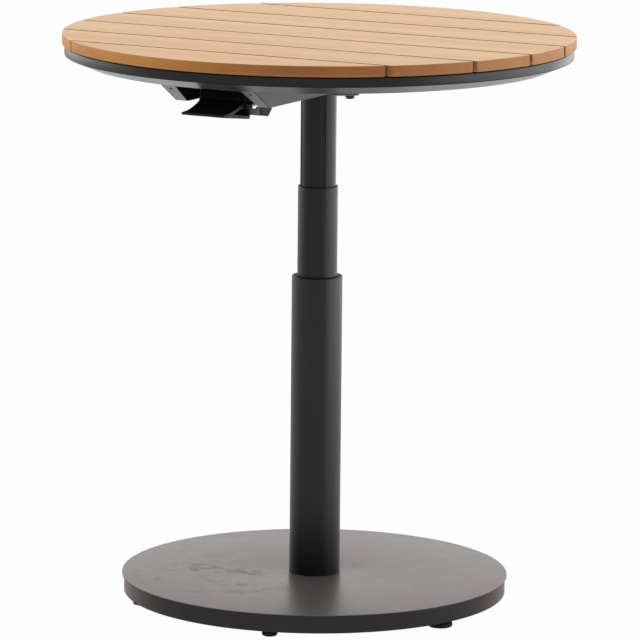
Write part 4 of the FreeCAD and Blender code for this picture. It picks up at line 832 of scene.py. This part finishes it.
def walled(outside, inside, kept):
    """Two grids joined into a wall. A cell that isn't kept is an opening, and each edge
    between a kept cell and an opening or an end gets a face from wall to wall."""
    rows, columns = outside.shape[:2]
    index = np.arange(rows * columns).reshape(rows, columns)
    beside = np.roll(index, -1, axis=1)
    shell = rows * columns
    a, b, c, d = index[:-1], beside[:-1], beside[1:], index[1:]
    faces = [np.stack([a, b, c, d], -1)[kept],
             np.stack([d, c, b, a], -1)[kept] + shell]
    above = np.vstack([kept[1:], np.zeros((1, columns), bool)])
    below = np.vstack([np.zeros((1, columns), bool), kept[:-1]])
    right, left = np.roll(kept, -1, axis=1), np.roll(kept, 1, axis=1)
    for first, second, other in ((d, c, above), (b, a, below), (c, b, right), (a, d, left)):
        edge = kept & ~other
        faces.append(np.stack([second[edge] + shell, first[edge] + shell,
                               first[edge], second[edge]], -1)[:, ::-1])
    points = np.concatenate([outside.reshape(-1, 3), inside.reshape(-1, 3)])
    return points, np.concatenate(faces).tolist()


SLOT_BOTTOM = PIVOT[1] + 4.5
UPPER_TUBE_BOTTOM = 439.0
piece("upper_column", [grooved_tube()], "upper", ["upper_tube"], "tube_coat",
      "upper_coat", sharp=50)

# %% [markdown]
# ## Base
#
# The base cover is pressed from thick sheet: a disc with a lip that overhangs a plain
# skirt, hollow underneath. One closed section, turned once, is both its skins.

# %% Base cover
TUBE_HOLE, LIP_RADIUS, SKIRT_BOTTOM = 32.95, 250.5, 8.0
skirt, inside = LIP_RADIUS - COVER_SHEET, LIP_RADIUS - 2 * COVER_SHEET
base_section = rounded([
    (TUBE_HOLE, COVER_UNDERSIDE), (inside, COVER_UNDERSIDE, 2.0), (inside, SKIRT_BOTTOM),
    (skirt, SKIRT_BOTTOM, 0.6), (skirt, COVER_UNDERSIDE, 0.8),
    (LIP_RADIUS, COVER_UNDERSIDE, 0.4), (LIP_RADIUS, BASE_TOP, 0.9),
    (TUBE_HOLE, BASE_TOP, 0.4)], steps=5)
piece("base_disc", [turned(base_section, sides=256, ring=True)], "base", ["base_cover"],
      "base_coat")

# %% [markdown]
# ## Feet
#
# Six rubber feet stand under the skirt. Each is turned: a soft sole, two shallow grooves
# that let the rubber grip its stud, and the stud itself inside the base. Five are alike.
# The sixth is the one that levels the table, so it has a pad that fingers can turn, 31 mm
# wide and 6.5 mm high. Both sections are written from the sole up, as radius, height and
# corner radius.

# %% Feet
FOOT = [(7.2, 0.0), (9.1, 0.75, 1.0), (10.0, 2.4, 1.0), (10.0, 4.2), (9.5, 4.5),
        (9.5, 5.0), (10.0, 5.3), (10.0, 6.2), (9.5, 6.5), (9.5, 7.0), (10.0, 7.3),
        (10.0, 8.0), (4.0, 8.0), (4.0, 20.0)]
LEVELLER = [(13.8, 0.0), (15.6, 1.2, 1.2), (15.6, 5.4, 1.6), (13.0, 6.5), (4.0, 6.5),
            (4.0, 20.0)]
FOOT_CIRCLE, FIRST_FOOT, LEVELLER_SPOT = 233.2, 44.8, (221.5, -70.6)
foot_angle = np.radians(FIRST_FOOT + 60 * np.arange(5))
foot_spots = FOOT_CIRCLE * unit(foot_angle)
foot, leveller = rounded(FOOT, steps=4), rounded(LEVELLER, steps=5)
piece("rubber_feet", [turned(foot, spot, sides=40) for spot in foot_spots],
      "base", [f"foot_glide_{number}" for number in range(1, 6)], "rubber")
piece("levelling_foot", [turned(leveller, LEVELLER_SPOT, sides=56)], "base",
      ["foot_glide_6"], "rubber")

# %% [markdown]
# ## Bolts and screws
#
# Button heads with a hexagon socket hold the pan and the housing, and hexagon heads hold
# the column's plate. A socket is a stack that starts on its own floor, comes down to the
# rim, goes over the dome and ends in the shank, so its loops change from a hexagon to a
# circle on the way.

# %% Socket heads and hexagon heads
ROUND = np.arange(36) / 36 * 2 * math.pi
HEXAGON = 1 / np.cos((ROUND + math.pi / 6) % (math.pi / 3) - math.pi / 6)
FACE = 0.62


def ring_of(radius, level, spot):
    """One loop: a radius for each of the 36 directions, at a level, round a spot."""
    return raised(spot + np.reshape(radius, (-1, 1)) * unit(ROUND), level)


def bolt(loops, edge, spot, seat, shank, length):
    """A head given as loops, then its edge on the seat and the shank above it."""
    return stack_of([*loops, ring_of(edge, seat, spot), ring_of(shank, seat, spot),
                     ring_of(shank, seat + length, spot)])


def socket_head(spot, seat, head, height, across, shank, length):
    """Hexagon socket of half width `across`, 60 percent of the head deep, in a flat face
    of FACE * head, under a dome r = head * (FACE + (1 - FACE) * cos t),
    z = seat - height + 0.75 * height * (1 - sin t)."""
    lip = seat - height
    loops = [ring_of(HEXAGON * across * 0.96, lip + height * 0.6, spot),
             ring_of(HEXAGON * across, lip + 0.15, spot),
             ring_of(across * 1.3, lip, spot), ring_of(head * FACE, lip, spot)]
    for turn in np.radians([60, 40, 20, 0]):
        loops.append(ring_of(head * (FACE + (1 - FACE) * math.cos(turn)),
                             lip + height * 0.75 * (1 - math.sin(turn)), spot))
    return bolt(loops, head, spot, seat, shank, length)


def hexagon_head(spot, seat, apothem, height, shank, length):
    """r(t, z) is the smaller of a hexagon and a chamfer cone that widens upwards."""
    low, face = seat - height, apothem * 0.94
    loops = [ring_of(face, low, spot)]
    for rise in (0.35, 0.7, 1.1):
        cone = np.minimum(HEXAGON * apothem, face + rise * 1.1)
        loops.append(ring_of(cone, low + rise, spot))
    return bolt(loops, HEXAGON * apothem, spot, seat, shank, length)


PAN_SLOPE, BOLT_INSET, BOLT_ACROSS, BOLT_TURN, STRAP = 26, 24.6, 166, 0.0087, 2.8
BOLT_CIRCLE = RING_RADIUS - PAN_SLOPE - BOLT_INSET
PAN_BOLT = {"head": 6, "height": 6.5, "across": 2.6, "shank": 3, "length": 9}
PLATE_BOLT = {"apothem": 5.6, "height": 5, "shank": 4, "length": 12.5}
corner = math.atan2(math.sqrt(BOLT_CIRCLE ** 2 - BOLT_ACROSS ** 2), BOLT_ACROSS)
bolt_angle = np.array([math.pi + corner, math.pi - corner, -corner, corner]) - BOLT_TURN
pan_spots = BOLT_CIRCLE * unit(bolt_angle)
piece("button_bolts", [socket_head(spot, PAN_BOTTOM - drop, **PAN_BOLT)
                       for spot, drop in zip(pan_spots, (0, 0, STRAP, 0))],
      "upper", ["pan_bolts"], "black_screw")
mount_spots = [(48 * side, 48 * end) for side in (-1, 1) for end in (-1, 1)]
piece("plate_bolts", [hexagon_head(spot, PLATE_BOTTOM, **PLATE_BOLT) for spot in mount_spots],
      "upper", ["mount_bolts"], "zinc_steel")

# %% [markdown]
# The same socket head, smaller, holds the lever's housing along its two flanges and the
# brackets and rod guides between them. They are sheet-metal screws with low heads, so one
# function serves for both sizes, and only the sheet under the head and the spots change.

# %% Small screws of the housing and the brackets
SMALL = {"head": 4, "height": 2.2, "across": 1.5, "shank": 2, "length": 3}
SCREWS = {
    "housing": (1.5, [(73 * side, 45 - 130 * step) for side in (-1, 1)
                      for step in range(3)]),
    "bracket": (2.0, [(-37.0, -246.0), (43.0, -246.0), (54.5, -222.0), (0.0, -192.0),
                      (0.0, -82.0)]),
}
for group, (sheet, spots) in SCREWS.items():
    piece(f"{group}_button_screws",
          [socket_head(spot, PAN_BOTTOM - sheet, **SMALL) for spot in spots],
          "upper", [f"{group}_screws"], "zinc_steel", "black_screw")

# %% [markdown]
# ## Release lever
#
# The paddle is one moulding: a scooped upper side for the fingers, a crest that pushes
# the rod, and a deep pocket in each side behind a broad rim. Its side view is a closed
# line, and the pocket is a smaller line inside it. Both are read at the same directions
# from one middle point, so that a rim face can run from one to the other.

# %% The paddle's lines
MIDDLE = np.array([-8.0, -9.0])
AROUND, SOFT = 300, 0.8


def scoop(first, last, radius, steps=24):
    """The hollow: a circle of the given radius through two points, its centre above."""
    first, last = np.array(first), np.array(last)
    chord = last - first
    span = np.linalg.norm(chord)
    normal = np.array([chord[1], -chord[0]]) / span
    centre = (first + last) / 2 + normal * math.sqrt(radius ** 2 - span ** 2 / 4)
    one, two = first - centre, last - centre
    start, end = math.atan2(one[1], one[0]), math.atan2(two[1], two[0])
    return centre + radius * unit(np.linspace(start, end, steps))


def evenly(line, count, soft):
    """Points at equal steps along a closed line, each the mean of the line over a short
    window, which rounds the corners by about `soft` millimetres."""
    closed = np.vstack([line, line[:1]])
    steps = np.linalg.norm(np.diff(closed, axis=0), axis=1)
    length = np.concatenate([[0], np.cumsum(steps)])
    fine = np.linspace(0, length[-1], count * 8 + 1)[:-1]
    dense = np.stack([np.interp(fine, length, closed[:, 0]),
                      np.interp(fine, length, closed[:, 1])], axis=-1)
    half = max(1, round(soft / (fine[1] - fine[0])))
    window = np.hanning(2 * half + 3)[1:-1]
    window /= window.sum()
    wrapped = np.vstack([dense[-half:], dense, dense[:half]])
    mean = np.stack([np.convolve(wrapped[:, axis], window, "valid") for axis in (0, 1)], -1)
    return mean[::8]


def facing_points(line, outer):
    """For each point of the outer line, the point of the inner line that lies in the same
    direction from the middle: distances are interpolated over their angles."""
    away = evenly(line, AROUND * 4, SOFT) - MIDDLE
    angle, radius = np.arctan2(away[:, 1], away[:, 0]), np.linalg.norm(away, axis=1)
    order = np.argsort(angle)
    outer = outer - MIDDLE
    wanted = np.arctan2(outer[:, 1], outer[:, 0])
    found = np.interp(wanted, angle[order], radius[order], period=2 * math.pi)
    return MIDDLE + found[:, None] * unit(wanted)


heel = rounded([(-55.0, -10.2), (13.0, -19.5, 3.0), (6.5, 2.2, 2.0), (2.5, 5.2), (2.5, 15.0),
                (-2.5, 15.0)])
paddle_line = np.vstack([heel, scoop((-7.5, 5.0), (-55.0, -7.0), radius=95.0)])
pocket_line = np.array([(-31.0, -8.8), (8.2, -15.0), (6.0, -4.6), (-4.0, -3.6),
                        (-12.0, -4.4)])
PADDLE = evenly(paddle_line, AROUND, SOFT)
POCKET = facing_points(pocket_line, PADDLE)
print("paddle", len(PADDLE), "points round,", round(np.ptp(PADDLE[:, 0]), 1), "mm long")

# %% [markdown]
# The moulding is one closed surface. It starts on the thin web in its middle, goes out
# along the left pocket's wall to the rim, crosses the whole width outside, and comes back
# in along the right pocket. Each loop is one of the two lines, moved in or out a little
# where the rim is rounded, as a mould leaves no sharp edge.

# %% The paddle
def side_loop(x, line, grow=0.0):
    """A loop in the plane at x, drawn in towards the middle or out from it by `grow`."""
    away = line - MIDDLE
    away = away / np.linalg.norm(away, axis=1, keepdims=True)
    placed = line + away * grow + PIVOT
    return np.column_stack([np.full(len(line), x), placed])


def paddle_stack(left, right):
    """From the web, out to the left rim, over the whole width, and back in to the web."""
    middle = (left + right) / 2
    rim = [(27.0, POCKET, -0.8), (0.7, POCKET, -0.2), (0.15, POCKET, 0), (0.0, POCKET, 0.4),
           (0.0, PADDLE, -0.7), (0.2, PADDLE, -0.25), (0.7, PADDLE, 0)]
    loops = [side_loop(left + depth, line, grow) for depth, line, grow in rim]
    loops += [side_loop(middle + step, PADDLE) for step in (-15, 0, 15)]
    loops += [side_loop(right - depth, line, grow) for depth, line, grow in rim[::-1]]
    return stack_of(loops)


piece("finger_lever", [paddle_stack(left=-27.0, right=33.0)], "lever",
      ["release_lever"], "lever_plastic", sharp=40)

# %% [markdown]
# ## Folded brackets
#
# The stop behind the paddle is folded from sheet: a plate along the arm, a lug across it
# that the paddle rests against, and a screw flange under the pan. A slab is any outline
# given a thickness, with its edges broken by a third of a millimetre.

# %% Slabs
def shrunk(line, gap):
    """Move a closed line inwards: each point goes along the mean of its edges' normals."""
    edge = np.roll(line, -1, axis=0) - line
    edge /= np.linalg.norm(edge, axis=1, keepdims=True)
    normal = np.stack([edge[:, 1], -edge[:, 0]], axis=-1)
    both = normal + np.roll(normal, 1, axis=0)
    scale = 2 / np.maximum((both ** 2).sum(axis=1, keepdims=True), 0.4)
    return line - both * scale * gap


def slab(outline, axis, start, end, edge=0.3):
    """An anticlockwise outline seen from +axis, carried along that axis. Rolling the
    columns by one or two turns (y, z, x) or (z, x, y) back into (x, y, z)."""
    line = rounded(outline, steps=6)
    loops = []
    for level, gap in ((start, edge), (start + edge, 0), (end - edge, 0), (end, edge)):
        loops.append(np.roll(raised(shrunk(line, gap), level), "zxy".index(axis), axis=1))
    return stack_of(loops)


SHEET, STOP_SIDE = 2.0, 45.5
front, back = PIVOT[0] + 13.5, PIVOT[0] + 40.5
lug_bottom, lug_top = PIVOT[1] - 14, PIVOT[1] - 4
plate = slab([(front, lug_bottom), (back - 9, lug_bottom - 3, 2.5),
              (back, lug_bottom + 5, 2.5), (back, PAN_BOTTOM), (front, PAN_BOTTOM)],
             "x", STOP_SIDE, STOP_SIDE + SHEET)
lug = slab([(lug_bottom, STOP_SIDE + SHEET), (lug_top, STOP_SIDE + SHEET, 2),
            (lug_top, 28.0), (lug_bottom, 28.0)], "y", front, front + SHEET)
flange = slab([(STOP_SIDE, front), (STOP_SIDE + 16, front, 3), (STOP_SIDE + 16, back, 3),
               (STOP_SIDE, back)], "z", PAN_BOTTOM - SHEET, PAN_BOTTOM)
piece("folded_stop", [plate, lug, flange], "upper", ["lever_stop"], "bracket_coat")

# %% [markdown]
# Under the front right bolt lies a short strap that spreads its pull over the thin sheet
# beside the lever's housing. It is a slab in the bolt's own directions: outwards from the
# middle, and round it. The other three bolts seat on the pan itself.

# %% Strap under the front right bolt
def strap(angle, inner=262.0, outer=297.0, start=-26.0, end=9.0):
    """Corners outwards and round, turned to the bolt's angle: out * (cos a, sin a) +
    round * (-sin a, cos a)."""
    outward = unit(angle)
    around = np.array([-outward[1], outward[0]])
    corners = [(inner, start), (outer, start), (outer, end), (inner, end)]
    outline = [(*(outward * out + around * along), 4.0) for out, along in corners]
    return slab(outline, "z", PAN_BOTTOM - STRAP, PAN_BOTTOM, edge=1.2)


piece("bolt_strap", [strap(bolt_angle[2])], "upper", finish="strap_coat")
print("a strap", STRAP, "mm thick")

# %% [markdown]
# The lever's spring is wound round its pin. One leg pushes the lever down; the other, a
# straight end of the same wire, stands up from the coil against the bracket's flange.

# %% The spring's standing leg
LEG_RADIUS, LEG_SPOT = 1.5, (40.2, PIVOT[0] + 1.4)
leg_bottom, leg_top = PIVOT[1] + 3.8, PAN_BOTTOM - 2.2
leg_section = [(LEG_RADIUS, leg_bottom), (LEG_RADIUS, leg_top)]
piece("spring_leg", [turned(leg_section, LEG_SPOT, sides=20)], "upper",
      finish="black_screw")
print("spring leg", round(leg_top - leg_bottom, 1), "mm tall")

# %% [markdown]
# ## The studio
#
# A pale floor runs off under a white surround. The surround is white to the eye and to
# polished metal, but lights the object more gently, so that broad soft boxes can shape
# it. The floor shows white too, yet takes the table's shadow.

# %% Floor and surround
FLOOR_HALF = 14.0


def white_seen(tree):
    """1 for a camera, glossy or transmission ray, and 0 for a diffuse or shadow ray."""
    path = tree.nodes.new("ShaderNodeLightPath")
    camera_ray, glossy, through = (Value(path.outputs[f"Is {kind} Ray"], tree)
                                   for kind in ("Camera", "Glossy", "Transmission"))
    return (camera_ray + glossy + through).clamp()


def make_floor(whiteness):
    """A square that is mostly white to the eye, over a pale floor that takes the table's
    shadow."""
    mesh = bpy.data.meshes.new("floor")
    corners = np.array([(-1, -1, 0), (1, -1, 0), (1, 1, 0), (-1, 1, 0)]) * FLOOR_HALF
    mesh.from_pydata(corners, [], [(0, 1, 2, 3)])
    floor = placed_object("floor", mesh)
    finish = Finish("floor")
    haze = finish.noise(900, detail=2)
    finish.set(Base_Color=finish.blend(haze, (0.86, 0.86, 0.86), (0.9, 0.9, 0.9)),
               Roughness=0.9, Specular_IOR_Level=0.0)
    glow = finish.node("Emission", Color=(1, 1, 1), Strength=1.0)
    shader = Value(finish.shader.outputs[0], finish.tree)
    mixed = finish.node("MixShader", i0=white_seen(finish.tree) * whiteness,
                        i1=shader, i2=glow)
    output = finish.tree.nodes["Material Output"]
    finish.tree.links.new(mixed.socket, output.inputs["Surface"])
    mesh.materials.append(finish.material)


def make_surround(level):
    """White to the eye and to gloss, and `level` to everything else."""
    world = bpy.data.worlds.new("studio")
    bpy.context.scene.world = world
    world.use_nodes = True
    tree = world.node_tree
    background = tree.nodes["Background"]
    background.inputs["Color"].default_value = (1, 1, 1, 1)
    feed(tree, white_seen(tree) * (1 - level) + level, background.inputs["Strength"])


make_floor(whiteness=0.975)
make_surround(level=0.36)
print("floor and surround ready")

# %% [markdown]
# Four soft boxes shape the table: one overhead for the boards, one at the left and two at
# the right for the tubes. A painted tube is a dark mirror, and each box draws one upright
# line of light on it. The front stays quiet, which leaves the dark line down the middle.

# %% Soft boxes
def soft_box(name, heading, height, distance, size, level, look_at=0.45):
    """A rectangular lamp. Heading 0 is at the camera and grows to its right; the level is
    the brightness of its face, so its power is level times pi times its area."""
    lamp = bpy.data.lights.new(name, "AREA")
    lamp.shape = "RECTANGLE"
    lamp.size, lamp.size_y = size
    lamp.energy = level * math.pi * size[0] * size[1]
    turn = TURN + math.radians(heading)
    spot = Vector((math.sin(turn) * distance, -math.cos(turn) * distance, height))
    held = placed_object(name, lamp)
    held.matrix_world = (Matrix.Translation(spot)
                         @ (spot - Vector((0, 0, look_at))).to_track_quat("Z", "Y")
                         .to_matrix().to_4x4())
    held.visible_camera = False


soft_box("overhead_box", heading=180, height=3.0, distance=0.4, size=(3.2, 3.2), level=1.5,
         look_at=0.0)
soft_box("right_box", heading=84, height=0.55, distance=2.5, size=(3.4, 1.1), level=3.1)
soft_box("back_right_box", heading=138, height=0.55, distance=2.7, size=(1.5, 1.1), level=1.8)
soft_box("left_box", heading=-118, height=0.76, distance=2.7, size=(2.9, 0.8), level=1.9)
bpy.context.scene.view_settings.view_transform = "Standard"
print("four soft boxes")
